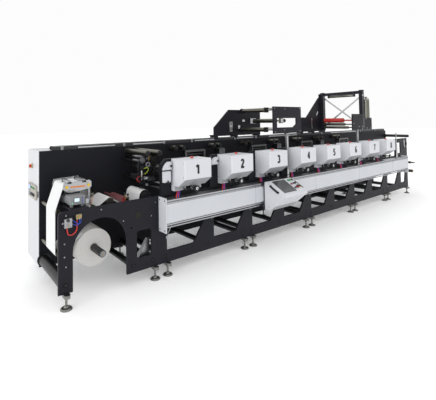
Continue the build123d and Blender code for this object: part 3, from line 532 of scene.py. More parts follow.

# Hoods: painted shade on the slanted and flat undersides and the leg fronts, screws on both sides, a hinge
# line of painted shadow across the top
undersides = Shape("hood_undersides", "cover_white")
trims = Shape("hood_trims", "bright_steel")
for s in UNIT_STARTS:
    left = s + HOOD_LEFT
    right = s + HOOD_RIGHT
    slant = ((-306, 1154), (-180, 1060.5), (-177.5, 1063.5), (-304, 1157))
    # Painted shade: darker sheets on the slanted underside, the flat underside and the legs' fronts
    undersides.prism([(left + 2, y, z) for y, z in slant], (405, 0, 0), COVER_PAINTED_SHADE, 0.6)
    undersides.box((left + 152, -178, 1059.5), (right - 60, -36, 1061.8), COVER_PAINTED_SHADE, 0.4)
    for low, high in ((left + 3, left + 147), (right - 55, right - 3)):
        undersides.box((low, -96.5, 1003), (high, -94.5, 1060), COVER_PAINTED_SHADE, 0.5)
    for y, z in ((-60, 1350), (-282, 1350), (-282, 1185), (-60, 1085)):
        trims.screw((left, y, z), (-1, 0, 0), 5, 2.4)
        trims.screw((right, y, z), (1, 0, 0), 5, 2.4)
    trims.box((left + 20, -64, HOOD_TOP - 0.4), (right - 20, -61, HOOD_TOP + 0.3), RECESS_SHADOW)
    for u in (left + 70, right - 120):
        trims.rod((u, -63, HOOD_TOP + 1), (u + 50, -63, HOOD_TOP + 1), 4, ZINC, edge=1)


def around(u, z, radius, count, first=0.0):
    """Places (u, z) spaced evenly on a circle."""
    angles = [first + 2 * math.pi * n / count for n in range(count)]
    return [(u + radius * math.cos(a), z + radius * math.sin(a)) for a in angles]


# White collars under the red knobs, and the wheels' rims, white faces and finger studs
stems = Shape("knob_collars", "cover_white")
wheels = Shape("wheel_faces", "cover_white")
for s in UNIT_STARTS:
    u = s + KNOB_U
    stems.post(u, KNOB_Y, HOOD_TOP, HOOD_TOP + 8, 13, WHITE, sides=24, edge=1.5)
    stems.ring((u, KNOB_Y, 1409.6), (0, 0, 1), 10, 5, 0.8, WHITE)
    u = s + WHEEL_U
    wheels.ring((u, -285, WHEEL_Z), FRONT, 36, 19, 5, PLASTIC)
    wheels.pin(u, WHEEL_Z, -285, -288.5, 18.5, WHITE, sides=32, edge=1.4)
    wheels.pin(u, WHEEL_Z, -288.5, -291, 7, PLASTIC, edge=0.8)
    for stud_u, stud_z in around(u, WHEEL_Z, 35, 6):
        wheels.pin(stud_u, stud_z, -283, -267, 3.5, PLASTIC, sides=10, edge=0.8)

# Duct: slots filled with painted shadow and bright lips along the head and foot, its face, seams and screws
duct = Shape("duct_slots", "duct_aluminium")
for front, back, low, high, material in (
    (-139.5, -138.0, 896.5, 898.7, RECESS_SHADOW),
    (-139.5, -138.0, 902, 904.2, RECESS_SHADOW),
    (-152.6, -151.8, 876.5, 878.6, RECESS_SHADOW),
    (-152.6, -151.8, 916.5, 920.5, BRIGHT),
    (-152.4, -151.9, 660, 874, DUCT_FACE),
    (-144.8, -143.6, 636, 640, BRIGHT),
    (-144.6, -143.8, 645, 651, RECESS_SHADOW),
):
    duct.box((DUCT_LEFT, front, low), (DUCT_RIGHT, back, high), material)
for m in range(1, 5):
    u = MODULE * m - 5
    duct.box((u - 1.1, -152.9, 657), (u + 1.1, -152.2, 920), RECESS_SHADOW)
for k in range(9):
    for u in (200 + PITCH * k, 560 + PITCH * k):
        if u < 6800 and not 1600 < u < 2200:
            duct.screw((u, -152.4, 667), FRONT, 4, 1.6)
for u, side in ((-32, -1), (6849, 1)):
    for y, z in ((-24, 572), (-130, 572), (-24, 915), (-130, 915)):
        duct.screw((u, y, z), (side, 0, 0), 9, 3, PLASTIC)


def gear(shape, u, y, z, radius, width, teeth, material):
    """A spur gear on an axis across the press."""
    shape.pin(u, z, y, y + width, radius - 3, material, sides=36, edge=1)
    shape.pin(u, z, y - 6, y, radius * 0.35, ZINC, sides=20, edge=1)
    for k in range(teeth):
        a = 2 * math.pi * k / teeth
        c = (u + (radius - 1) * math.cos(a), z + (radius - 1) * math.sin(a))
        t = (-math.sin(a) * 1.8, math.cos(a) * 1.8)
        r = (math.cos(a) * 3.5, math.sin(a) * 3.5)
        points = [
            (c[0] + i * r[0] + j * t[0], y, c[1] + i * r[1] + j * t[1])
            for i, j in ((-1, -1), (-1, 1), (1, 0.6), (1, -0.6))
        ]
        shape.prism(points, (0, width, 0), material)


# Print mechanism inside each unit: gears, doctor blade beam, ink tray, cross bars, bearing blocks
gears = Shape("unit_gears", "dark_steel")
trays = Shape("ink_trays", "bright_steel")
beams = Shape("doctor_blades", "dark_steel")
UNIT_GEARS = ((81, 1214, 50, 28, DARK), (190, 1191, 60, 34, GREY), (330, 1150, 84, 44, DARK))
TRAY = [(-44, 1150), (-36, 1106), (-26, 1098), (62, 1098), (86, 1128), (80, 1132), (58, 1104), (-22, 1104),
        (-30, 1110), (-38, 1151)]
TRAY_END = [(-40, 1148), (-30, 1102), (60, 1102), (82, 1130)]
BLADE_BEAM = [(-34, 1262), (-8, 1226), (24, 1232), (30, 1242), (2, 1286)]
for s in UNIT_STARTS:
    for u, z, radius, teeth, material in UNIT_GEARS:
        gear(gears, s + u, 60, z, radius, 16, teeth, material)
    trays.prism([(s + u, 215, z) for u, z in TRAY], (0, 470, 0), ZINC)
    for y in (215, 681):
        trays.prism([(s + u, y, z) for u, z in TRAY_END], (0, 4, 0), ZINC)
    beams.prism([(s + u, 212, z) for u, z in BLADE_BEAM], (0, 476, 0), DARK, 2)
    beams.box((s + 22, 230, 1236), (s + 40, 670, 1239), BRIGHT)
    for y in (260, 340, 450, 560, 640):
        beams.screw((s - 21, y, 1246), (-0.8, 0, -0.58), 7, 6)
    for u, z, radius, material in ((75, 1074, 13, RAIL), (18, 1030, 15, DARK), (110, 1000, 12, DARK)):
        beams.pin(s + u, z, 15, WALL_FACE, radius, material, edge=1)
    for u, z, r in ((81, 1214, 34), (190, 1191, 38), (330, 1150, 52)):
        beams.box((s + u - r, 104, z - r), (s + u + r, 138, z + r), BLACK, 4)
        beams.screws(((s + u - r + 9, z + r - 9), (s + u + r - 9, z - r + 9)), 104, 5, 4)

# The first unit's open side: carrier plate on bars from the wall, with its fittings and hoses
entry = Shape("entry_carrier", "dark_steel")
outline = [(-128, 1080), (4, 1080), (4, 1196), (-46, 1222), (-46, 1290), (26, 1330), (26, 1398), (-60, 1410),
           (-128, 1350)]
entry.prism([(u, 300, z) for u, z in outline], (0, 12, 0), BLACK, 1.5)
for u, z, r in ((-96, 1110, 12), (-96, 1330, 12), (-30, 1360, 16)):
    entry.pin(u, z, 312, WALL_FACE, r, DARK, edge=1)
gear(entry, -84, 278, 1352, 38, 14, 24, GREY)
gear(entry, -24, 278, 1370, 26, 14, 18, DARK)
entry.box((18, 312, 1240), (132, 430, 1398), OLIVE_CAP, 8)
entry.pin(60, 1360, 312, 286, 34, OLIVE_CAP, sides=28, edge=4)
entry.pin(60, 1360, 286, 270, 14, DARK, edge=2)
for u in (24, 96):
    entry.box((u, 286, 1060), (u + 18, 300, 1330), BLACK, 3)
entry.box((-128, 284, 1062), (124, 302, 1084), BLACK, 3)
entry.box((-128, 284, 1010), (124, 300, 1030), DARK, 3)
entry.box((-40, 270, 1030), (-10, 290, 1062), BOX_GREY, 2)
entry.ring((-24, 262, 1300), FRONT, 30, 18, 14, BOX_GREY)
entry.pin(-24, 1300, 300, 262, 12, DARK, edge=1)
entry.box((-118, 268, 1228), (-74, 300, 1288), DARK, 3)
entry.post(-96, 284, 1228, 1132, 13, BRIGHT, edge=1.5)
entry.post(-96, 284, 1132, 1104, 5, BRIGHT)
entry.box((-66, 262, 1112), (-22, 300, 1150), BOX_GREY, 3)
entry.pin(-44, 1131, 262, 250, 9, WHITE, edge=1.5)
entry.pin(-60, 1180, 300, 276, 16, BRASS, top=12, edge=1.5)
entry.box((-4, 276, 1342), (20, 300, 1392), BRASS, 2)
bolts = ((-116, 1340), (-116, 1096), (-8, 1096), (-8, 1180), (14, 1342), (-58, 1398))
entry.screws(bolts, 300, 5, 4)
# End caps and wall collars of the two web rollers
for u, y in zip(WEB_ROLLERS_U, (246, 188)):
    entry.pin(u, WEB_ROLLERS_Z, y - 10, y, 33, DARK, sides=28, edge=2)
    entry.pin(u, WEB_ROLLERS_Z, y - 20, y - 10, 16, PLASTIC, edge=1.5)
    entry.pin(u, WEB_ROLLERS_Z, 790, 819.5, 43, DARK, sides=28, edge=2)
for colour, radius, material, points in (
    ("white", 5, PLASTIC,
     [(-110, 296, 1345), (-150, 262, 1352), (-168, 240, 1290), (-158, 240, 1218), (-112, 296, 1196)]),
    ("blue", 4, PLASTIC,
     [(-118, 296, 1330), (-162, 256, 1332), (-182, 236, 1270), (-160, 250, 1180), (-112, 296, 1170)]),
    ("red", 4, RED_HOSE,
     [(-114, 296, 1160), (-168, 262, 1158), (-186, 250, 1120), (-150, 262, 1098), (-112, 296, 1096)]),
    ("lime", 4.5, LIME,
     [(-74, 268, 1250), (-78, 226, 1262), (-44, 216, 1270), (-24, 236, 1222), (-58, 280, 1180)]),
):
    tube("entry_hose_" + colour, points, radius, material)

# Covers at the first units: knobs, latch, joint lines
cover = Shape("cover_fittings", "black_plastic")
for s in (0, PITCH):
    cover.pin(s + 96, 1300, -72, -86, 9, PLASTIC, edge=1.5)
    cover.pin(s + 96, 1300, -86, -92, 14, PLASTIC, edge=2)
    cover.box((s + 2, -72.8, 1257), (s + 110, -71.8, 1259), RECESS_SHADOW)
    cover.screws(((s + 14, 1268), (s + 98, 1336)), -72, 4, 2)
cover.box((28, -84, 1096), (72, -40, 1114), PLASTIC, 3)
cover.box((40, -90, 1100), (60, -84, 1132), DARK, 2)
cover.screws(((10, 1120), (90, 1120), (10, 1230), (90, 1230)), -72, 4, 2)

# Behind each wheel: bearing block, lever and screws on the hood's leg
mounts = Shape("wheel_mounts", "dark_steel")
for s in UNIT_STARTS:
    mounts.box((s + 296, -150, 1012), (s + 358, -100, 1058), BLACK, 4)
    mounts.pin(s + WHEEL_U, WHEEL_Z, -262, -150, 12, DARK, edge=1)
    mounts.pin(s + WHEEL_U, WHEEL_Z, -200, -176, 22, GREY, edge=2)
    mounts.post(s + 268, -130, 1020, 1058, 8, BRIGHT, edge=1)
    mounts.box((s + 250, -146, 1004), (s + 286, -112, 1022), DARK, 2)
    mounts.pin(s + 404, 1016, -128, -150, 14, DARK, edge=2)
    mounts.screws(((s + 158, 1020), (s + 512, 1020)), -96, 5, 3)

# Second hose of each pair, beside the solid ones, in blue
for k in range(UNITS):
    s = PITCH * k + HOOD_LEFT
    for j in (0, 1):
        top = (s + 74 + 26 * j, -66, 999)
        low = (s + 37 + 30 * j, -100, 922)
        points = [top, (top[0], -68, 974), (low[0], -98, 946), low]
        tube("blue_hose_" + str(k + 1) + "_" + str(j + 1), points, 6.2, BLUE, resolution=6)

# Unwinder's front plate: screws, cap, an open hole filled with painted shadow, valve details and its hoses
plate = Shape("unwinder_fittings", "bright_steel")
for u, z in ((-1113, 910), (-745, 911), (-489, 744), (-134, 739), (-78, 885), (-1128, 636), (-1128, 508),
             (-1114, 409)):
    plate.ring((u, -0.2, z), FRONT, 10, 7.5, 1.2, BLACK)
    plate.screw((u, 0, z), FRONT, 7, 1.6)
plate.pin(-312, 775, 0, -4, 38, OLIVE_CAP, sides=40, edge=1.5)
plate.ring((-392, -0.4, 650), FRONT, 22, 18, 2.5, DARK)
plate.pin(-392, 650, -0.2, -1.2, 18, RECESS_SHADOW, sides=28)
plate.pin(-1106, 872, -45, -58, 15, DARK, edge=2)
plate.pin(-1106, 822, -45, -52, 20, ZINC, edge=2)
plate.pin(-1106, 822, -52, -60, 8, BRASS, edge=1)
plate.rod((-1142, -24, 846), (-1160, -24, 846), 9, ZINC, sides=6)
plate.rod((-1068, -24, 864), (-1056, -24, 864), 8, BRASS, sides=6)
plate.rod((-1068, -24, 826), (-1056, -24, 826), 8, BRASS, sides=6)
plate.box((-1028, -50, 872), (-974, -4, 913), BRASS, 3)
plate.pin(-1000, 892, -50, -60, 12, BRASS, edge=1.5)
plate.post(-1012, -24, 872, 860, 8, ZINC, sides=6)
plate.post(-988, -24, 872, 860, 8, ZINC, sides=6)
plate.screws(((-1128, 888), (-1084, 808)), -45, 4, 2, DARK)
red_points = [(-1012, -24, 862), (-1012, -24, 800), (-1014, -26, 752), (-1060, -28, 716), (-1112, -26, 730),
              (-1110, -22, 806)]
blue_points = [(-988, -24, 862), (-986, -24, 828), (-1006, -26, 800), (-1040, -28, 816), (-1058, -24, 826)]
blue_points_2 = [(-980, -20, 874), (-964, -22, 846), (-990, -34, 812), (-1028, -36, 836), (-1058, -26, 864)]
tube("air_hose_red", red_points, 5.5, RED_HOSE)
tube("air_hose_blue", blue_points, 5, BLUE)
tube("air_hose_blue_2", blue_points_2, 5, BLUE)

# The reel shaft's end, and the folded guard seen in the peep window
shaft_end = Shape("shaft_end", "dark_steel", body="reel")
shaft_end.pin(REEL_U, REEL_Z, -10, -13, 30, BOX_GREY, sides=36, edge=1)
shaft_end.screws(around(REEL_U, REEL_Z, 21, 6), -12.6, 4.5, 2.4)
shaft_end.pin(REEL_U, REEL_Z, -13, -19, 8, BRASS, sides=18, edge=1)
for u, z in around(REEL_U, REEL_Z, 37.2, 3, math.pi / 2):
    shaft_end.pin(u, z, 6, 230, 5, RUBBER, sides=12, edge=1)
shaft_end.ring((REEL_U, 240.2, REEL_Z), FRONT, 46, 38.3, 2.2, BEIGE)
guard = Shape("peep_guard", "cabinet_grey")
guard.prism([(-268, 72, 262), (-120, 72, 262), (-120, 72, 470), (-150, 72, 470)], (0, 2.5, 0), ZINC, 0.6)
guard.prism([(-268, 72, 262), (-150, 72, 470), (-158, 96, 470), (-288, 120, 262)], (1.5, 2, 0), ZINC, 0.6)
for z in (300, 430):
    guard.pin(-128, z, 25, 72, 6, DARK, edge=1)

# Tie bar holes in the front plates: a turned rim, painted shadow filling the hole, and the bar's screw inside
ties = Shape("tie_bar_screws", "dark_steel")
places = [-1117, -369, -116, 56]
places += [716 + MODULE * m for m in range(5)]
places += [MODULE * m - 124 for m in range(1, 5)]
places += [MODULE * m + 62 for m in range(1, 5)]
for u in places:
    z = 233 if u == -1117 else 226
    ties.ring((u, -0.3, z), FRONT, 25, 21, 1.6, BLACK)
    ties.pin(u, z, -0.2, -0.9, 21, RECESS_SHADOW, sides=32)
    ties.screw((u, -0.6, z), FRONT, 12, 3, DARK)

# Web guide: caps, bare strip, two bars, edge sensor, controller's face
guide = Shape("guide_fittings", "anodised_grey")
for u, z in ((-1038, 1150), (-803, 1150)):
    guide.pin(u, z, 211, 203, 16, YELLOW, sides=24, edge=2)
strip = ((-1000, 1140), (-838, 1134), (-838, 1149), (-1000, 1155))
guide.prism([(u, 209.6, z) for u, z in strip], (0, 1.6, 0), ORANGE, 0.5)
guide.screws(((-1066, 1168), (-1014, 1112), (-830, 1118), (-820, 1180), (-1020, 1190)), 211, 4.5, 2.4, DARK)
for u, back in ((-1008, 430), (-850, 490)):
    guide.box((u - 13, 206, 1190), (u + 13, back, 1212), RAIL, 3)
    guide.box((u - 5, 204, 1212), (u + 5, back - 8, 1220), BRIGHT, 1.5)
    guide.box((u - 22, 198, 1184), (u + 16, 212, 1206), PLASTIC, 2)
    guide.box((u - 16, back - 10, 1182), (u + 16, back + 6, 1216), PLASTIC, 2)
    guide.screw((u - 14, 198, 1196), FRONT, 4, 2)
guide.box((-1072, 224, 1064), (-890, 590, 1086), PLASTIC, 4)
guide.box((-1060, 218, 1086), (-1040, 224, 1120), DARK, 1)
guide.pin(-980, 1074, 212, 226, 14, DARK, edge=2)
guide.box((-806, 213, 972), (-786, 222, 1112), ZINC, 1.5)
guide.box((-846, 196, 940), (-782, 244, 1012), ZINC, 4)
guide.box((-838, 194.5, 952), (-806, 196, 1000), WHITE, 0.6)
guide.box((-784, 206, 1012), (-744, 246, 1054), OLIVE, 3)
guide.box((-776, 204.5, 1024), (-760, 206, 1042), PLASTIC, 0.5)
guide.box((-1014, 58, 1014), (-952, 60.4, 1060), PLASTIC, 1)
guide.box((-1009, 57.4, 1018), (-957, 58.4, 1056), LCD, 0.3)
guide.pin(-1030, 1006, 60, 57.5, 5, LED, edge=0.8)
for z in (1058, 1040, 1022, 1004):
    guide.pin(-926, z, 60, 57, 6, BLUE, edge=1)
for z in (1049, 1031):
    guide.pin(-940, z, 60, 57.4, 4, BOX_GREY, edge=0.6)
guide.screws([(u, z) for u in (-1044, -906) for z in (996, 1068)], 60, 3.5, 1.6)
# Slots on the controller's side, filled with painted shadow
for y in (110, 170, 230, 290, 350):
    guide.box((-1051.2, y, 1000), (-1050, y + 30, 1006), RECESS_SHADOW)
cable_points = [(-764, 208, 1012), (-764, 204, 984), (-772, 206, 948), (-790, 216, 930), (-800, 224, 944)]
tube("sensor_cable", cable_points, 4, ORANGE)

# Nip and infeed: bearing collar, brass fitting and dark knobs
nip = Shape("nip_fittings", "dark_steel")
nip.ring((NIP_U, 190, 905), FRONT, 27, 14.2, 12, BLACK)
nip.pin(NIP_U, 905, 236, 233, 40, RED_RUBBER, sides=32, edge=1)
nip.box((-372, 180, 930), (-324, 202, 952), BRASS, 3)
nip.post(-372, 191, 952, 985, 6, BRASS, edge=1)
nip.post(-372, 191, 985, 1010, 15, PLASTIC, edge=3)
nip.post(-338, 191, 952, 968, 5, BRASS)
nip.post(-338, 191, 968, 990, 12, PLASTIC, edge=2)
nip.pin(INFEED_U, 925, 156, 150, 52, BLACK, sides=36, edge=2)
nip.screws(around(INFEED_U, 925, 42, 6), 151, 5, 3)

# Along the wall's top: rail end caps, light strips, brackets with screws
top = Shape("rail_fittings", "bright_steel")
for y in (832, 902):
    top.box((-1017, y - 0.6, 1546), (7990, y + 30.6, 1549.8), RAIL)
for low, high in ((-702, -197), (76, 612), (1180, 1600), (2130, 2560), (3000, 3900), (5200, 6400)):
    top.box((low, 828.5, 1514), (high, 832, 1530), RAIL, 1)
for u in (-901, -63, 594, 1120, 2083, 2630, 3480, 4825, 5700, 6600, 7400):
    top.box((u - 16, 824, 1500.2), (u + 16, 832, 1550), ZINC, 1.5)
    top.screws(((u, 1536), (u, 1514)), 824, 5, 3, DARK)
for y in (847, 917):
    top.rod((-1017, y, 1525), (-1026, y, 1525), 13, PLASTIC, edge=2)

# Wall: seams between its plates, with bolts on both sides and along the unwinder
wall = Shape("wall_fittings", "frame_black")
for m in range(5):
    u = 640 + MODULE * m
    wall.box((u - 1.2, 819.2, 152), (u + 1.2, 820.2, 1498), RECESS_SHADOW)
    wall.screws([(u + d, z) for z in (220, 700, 1200, 1470) for d in (-22, 22)], WALL_FACE, 6, 3, DARK)
for u in (-1120, -820, -520, -220):
    wall.screws(((u, 1478), (u, 180)), WALL_FACE, 6, 3, DARK)

# Fins of the dryer heads, faces of the roller stubs, rollers in the brackets
fins = Shape("dryer_fins", "cover_white")
fins.box((62, 741, 1287), (126, 819, 1370), WHITE, 2)
for s in MODULE_STARTS:
    material = BOX_GREY if s else WHITE
    for n in range(9):
        u = s + (129 if s else 66) + 13 * n
        fins.box((u, 726, 1289), (u + 7, 741, 1368), material, 1)
    fins.box((s + 123, 742, 1372), (s + 247, 818, 1376), material, 1)
    fins.post(s + 185, 780, 1376, 1392, 12, DARK, edge=2)
stubs = Shape("stub_faces", "black_plastic")
for s in UNIT_STARTS[1:]:
    for u in (s + WEB_ROLLERS_U[0], s + WEB_ROLLERS_U[1]):
        stubs.pin(u, WEB_ROLLERS_Z, 690, 684, 36.5, PLASTIC, sides=28, edge=2)
        stubs.pin(u, WEB_ROLLERS_Z, 684, 676, 14, DARK, edge=2)
        stubs.pin(u, WEB_ROLLERS_Z, 792, 819.5, 42, PLASTIC, sides=28, edge=2)
brackets = Shape("bracket_rollers", "dark_steel")
for s in MODULE_STARTS:
    brackets.rod((s + 934, 784, 1310), (s + 1326, 784, 1310), 26, DARK, edge=2)
    brackets.screws([(u, z) for u in (s + 945, s + 1315) for z in (1260, 1350)], 750, 6, 3)

# Gantries, each with the same fittings at its post

def post_fittings(shape, u, low):
    """Clamp, collar and screws where a gantry's post meets its front plate."""
    shape.box((u - 26, -118, low - 4), (u + 26, -110, low + 44), ZINC, 3)
    shape.screws(((u, low + 30), (u, low + 10)), -118, 6, 4, DARK)
    shape.box((u - 27, -113, 960), (u + 27, -77, 974), DARK, 2)


# Gantry 1: tag with its hole filled by painted shadow, covers, bearing blocks, screws and the window's
# fitting
one = Shape("gantry_1_fittings", "bright_steel", body="gantry_1")
one.box((1948, 816.5, 1642), (2018, 819.8, 1812), BRIGHT, 1)
one.ring((1983, 816.2, 1776), FRONT, 19, 13, 2, ZINC)
one.pin(1983, 1776, 816.2, 815.6, 13, RECESS_SHADOW, sides=28)
one.screws(((1958, 1652), (2008, 1652), (1958, 1802), (2008, 1802)), 816.5, 4, 2, DARK)
for low, high in (((2268, 1812), (2330, 1846)), ((2160, 1690), (2204, 1746))):
    one.box((low[0], 815, low[1]), (high[0], 819.8, high[1]), WHITE, 2.2)
    one.screw(((low[0] + high[0]) / 2, 815, (low[1] + high[1]) / 2), FRONT, 5, 2, DARK)
one.box((2474, 781, 1776), (2590, 819, 1868), CABINET, 4)
one.pin(2532, 1820, 781, 772, 40, DARK, sides=30, edge=2)
for u, z in ((2255, 2001), (2240, 1674)):
    one.box((u - 44, 244, z - 42), (u + 44, 276, z + 42), PLASTIC, 4)
    one.pin(u, z, 244, 236, 24, DARK, edge=2)
    one.pin(u + 34, z + 26, -85, 244, 7, DARK, edge=1)
    one.box((u - 40, 784, z - 40), (u + 40, 819, z + 40), BLACK, 4)
bolts = ((2010, 2014), (2650, 2014), (2010, 1650), (2650, 1650), (2255, 2001), (2240, 1674))
one.screws(bolts, GANTRY_FACE, 8, 4)
bolts = ((1632, 1570), (1760, 1700), (1700, 1640), (2420, 1990), (2680, 1990), (2700, 1600), (1900, 1600),
         (2300, 1570))
one.screws(bolts, WALL_FACE, 7, 4, DARK)
one.box((2500, 112, 1788), (2564, 158, 1852), WHITE, 4)
one.pin(2532, 1820, 110, 96, 26, PLASTIC, sides=26, edge=3)
one.box((2260, -90, 1610), (2360, -84, 1634), DARK, 1)
post_fittings(one, 2310, 1580)

# Gantry 2: slot cover and tag, tower bands, knob, screws, roller ends
two = Shape("gantry_2_fittings", "bright_steel", body="gantry_2")
two.box((4424, 816.5, 1640), (4448, 819.8, 1860), BRIGHT, 1)
tag = ((4612, 1930), (4632, 1922), (4684, 2006), (4664, 2014))
two.prism([(u, 816, z) for u, z in tag], (0, 3.8, 0), WHITE, 1)
for y in (-75, 784):
    for u in (4800, 4844):
        two.box((u, y - 36.2, 1640), (u + 10, y - 34.6, 2400), GREY, 0.6)
    for z in (1680, 1900, 2120, 2340):
        two.screw((4820, y - 35, z), FRONT, 6, 4)
two.pin(4800, 2372, GANTRY_FACE, -122, 30, PLASTIC, sides=28, edge=3)
two.pin(4800, 2372, -122, -130, 12, BRIGHT, edge=1)
two.box((4780, -126, 2300), (4820, -111, 2328), BRIGHT, 3)
for u, z in ((4420, 1742), (4620, 1680), (4760, 1677), (4758, 1630), (5130, 1640), (5130, 1840), (4920, 1836),
             (4960, 1640)):
    two.pin(u, z, GANTRY_FACE, GANTRY_FACE - 3, 9, WHITE, edge=1)
    two.pin(u, z, -113, -114, 4, DARK, sides=6)
bolts = ((4070, 1570), (4200, 1700), (4400, 1960), (4560, 2110), (4700, 1600), (4060, 1840), (4500, 1580))
two.screws(bolts, WALL_FACE, 7, 4, DARK)
for y in (-36, 732):
    two.pin(4800, 1806, y, y + 12, 44, PLASTIC, sides=32, edge=3)
for z, r in ((1722, 30), (1655, 28)):
    two.pin(4800, z, 728, 748, r + 10, DARK, sides=28, edge=2)
two.rod((4859, 355, 1990), (4872, 355, 1990), 16, ZINC, sides=24, edge=2)
two.pin(4828, 2322, 84, 626, 24.8, OLIVE, sides=30, edge=2)
for z in (1866, 2240):
    two.ring((4962, -97, z), (0, 0, 1), 63.8, 60, 8, DARK)
post_fittings(two, 4568, 1580)

# Winding end: shaft collars and tips, upright cylinder, buttons, screws round the portal
WINDER_U = 7950
winder = Shape("winding_fittings", "bright_steel")
for z, y, r in ((662, 176, 31), (440, 142, 39)):
    winder.ring((WINDER_U, y + 10, z), FRONT, r, r - 10, 8, BRASS)
winder.pin(WINDER_U, 662, 150, 128, 20, PLASTIC, sides=24, edge=2)
winder.pin(WINDER_U, 662, 128, 112, 18, BRIGHT, sides=24, edge=2)
winder.pin(WINDER_U, 1360, 222, 214, 30, DARK, edge=2)
winder.box((7918, 790, 1316), (7982, 819.5, 1400), BLACK, 4)
for z in (440, 662):
    winder.ring((WINDER_U, 819, z), FRONT, 70, 34, 16, BLACK)
winder.post(7050, -4, 1120, 1300, 15, BRIGHT, sides=24, edge=2)
winder.post(7050, -4, 1300, 1342, 6, BRIGHT, edge=1)
winder.box((7030, -12, 1100), (7070, 0, 1120), DARK, 2)
bolts = ((6576, 1300), (6576, 980), (6900, 1300), (7190, 1310), (7190, 1010), (7190, 600), (6100, 900),
         (6500, 900))
winder.screws(bolts, 0, 8, 4)
winder.box((7130, -24, 1180), (7176, 0, 1240), PLASTIC, 3)
winder.pin(7153, 1222, -24, -30, 9, RED, edge=2)
winder.pin(7153, 1198, -24, -30, 9, GREEN, edge=2)
winder.pin(8010, 1312, 800, 819, 14, BRASS, edge=2)

# Strut under the duct's near end
strut = Shape("duct_strut", "bright_steel")
strut.rod((73, -112, 628), (73, -2, 452), 6, BRIGHT, edge=0.8)
strut.box((58, -14, 434), (88, 0, 468), ZINC, 2)


# Control panel: display with generic tiles, coloured caps, bezels, screws
SLOPE = math.atan2(174, 296)
PANEL_FOOT = (1921, -527, 778)


def panel(x, t, h):
    """A point on the panel's sloping face: across, up the slope, and out from it."""
    y = PANEL_FOOT[1] + t * math.cos(SLOPE) - h * math.sin(SLOPE)
    return (PANEL_FOOT[0] + x, y, PANEL_FOOT[2] + t * math.sin(SLOPE) + h * math.cos(SLOPE))


def patch(shape, low, high, h, material, depth=0.8):
    """A thin raised patch on the sloping face."""
    corners = [panel(x, t, h) for x, t in (low, (high[0], low[1]), high, (low[0], high[1]))]
    push = (0, -depth * math.sin(SLOPE), depth * math.cos(SLOPE))
    shape.prism(corners, push, material, 0.25)


display = Shape("panel_display", "screen_glass", body="control_panel")
patch(display, (-178, 76), (68, 302), 7, SCREEN)
patch(display, (-170, 276), (60, 294), 7.8, SCREEN_TILE, 0.4)
for row in range(3):
    for column in range(4):
        low = (-168 + 57 * column, 102 + 56 * row)
        patch(display, low, (low[0] + 48, low[1] + 44), 7.8, SCREEN_TILE, 0.4)
patch(display, (-168, 82), (-60, 94), 7.8, LCD_BLUE, 0.4)
caps = Shape("panel_caps", "button_plastic", body="control_panel")
BUTTONS = ((150, 289, GREEN), (197, 289, GREEN), (240, 289, PLASTIC), (130, 206, RED),
           (188, 213, PLASTIC), (226, 213, PLASTIC), (120, 120, PLASTIC), (232, 125, YELLOW))
for x, t, material in BUTTONS:
    caps.rod(panel(x, t, 0.2), panel(x, t, 3.5), 18, BRIGHT, sides=24, edge=1)
    caps.rod(panel(x, t, 3.5), panel(x, t, 15.5), 14, material, sides=24, edge=2)
    if material is PLASTIC:
        caps.rod(panel(x, t - 9, 16.2), panel(x, t + 9, 16.2), 2, WHITE, sides=8)
caps.rod(panel(180, 128, 0.2), panel(180, 128, 3), 34, YELLOW, sides=32, edge=1)
caps.rod(panel(180, 128, 3), panel(180, 128, 18), 16, RED, sides=24, edge=1)
caps.rod(panel(180, 128, 18), panel(180, 128, 31), 25, RED, sides=32, edge=5)
casing = Shape("panel_casing", "cover_white", body="control_panel")
for x, t in ((-252, 12), (252, 12), (-252, 331), (252, 331)):
    casing.screw(panel(x, t, 0.1), (0, -math.sin(SLOPE), math.cos(SLOPE)), 5, 2)
# Painted shade: a darker sheet laid over the panel's downward-facing underside
under = [(1660, -525.2, 772), (2182, -525.2, 772), (2182, -281, 552), (1660, -281, 552)]
casing.prism(under, (0, -0.7, -0.8), COVER_PAINTED_SHADE, 0.3)
for side, u in ((-1, 1656), (1, 2186)):
    for y, z in ((-246, 920), (-250, 600), (-470, 772), (-180, 930), (-180, 570)):
        casing.screw((u, y, z), (side, 0, 0), 5, 2.2)
    casing.box((u - 1, -178, 552), (u + 1, -160, 948), PLASTIC, 0.5)
for x in (-281, 281):
    for t in (112, 257):
        casing.rod(panel(x, t, -4), panel(x, t, -2.5), 6, BRIGHT, sides=18, edge=0.5)
casing.screws([(u, z) for u in (1640, 2204) for z in (600, 640, 870, 915)], -158, 6, 3)

# Cabinets: stop button and tension panel on the left side; latches, hinges, louvres drawn as slots of painted
# shadow, and roof vents
side = Shape("cabinet_controls", "beige_plastic")
side.ring((-1179.2, 1161, 1299), (-1, 0, 0), 30, 19.5, 1.2, YELLOW)
side.rod((-1181, 1161, 1299), (-1208.8, 1161, 1299), 21, RED, sides=30, edge=4)
side.box((-1185, 1186, 1000), (-1183, 1282, 1066), PLASTIC, 0.6)
side.box((-1185.8, 1192, 1006), (-1184.8, 1276, 1060), LCD_BLUE, 0.3)
for n in range(5):
    side.rod((-1183, 1150 - 42 * n, 1040), (-1190, 1150 - 42 * n, 1040), 12, DARK if n % 2 else GREEN, edge=2)
for n in range(3):
    side.rod((-1183, 1140 - 70 * n, 960), (-1194, 1140 - 70 * n, 960), 20, PLASTIC, edge=2.5)
side.box((-1184, 1190, 930), (-1182.6, 1280, 985), BOX_GREY, 0.4)
for y, z in ((923, 918), (923, 1072), (1287, 918), (1287, 1072)):
    side.screw((-1183, y, z), (-1, 0, 0), 4, 1.6)
side.box((-1172, 862, 950), (-1164.5, 890, 1020), PLASTIC, 2)
side.rod((-1172, 876, 1000), (-1176, 876, 1000), 8, BRIGHT, edge=1)
for y in (850, 1406):
    for z in (200, 560, 1080, 1440):
        side.screw((-1165, y + (8 if y < 1000 else -10), z), (-1, 0, 0), 5, 2)
DOOR_PITCH = 698
doors = Shape("cabinet_fittings", "black_plastic")
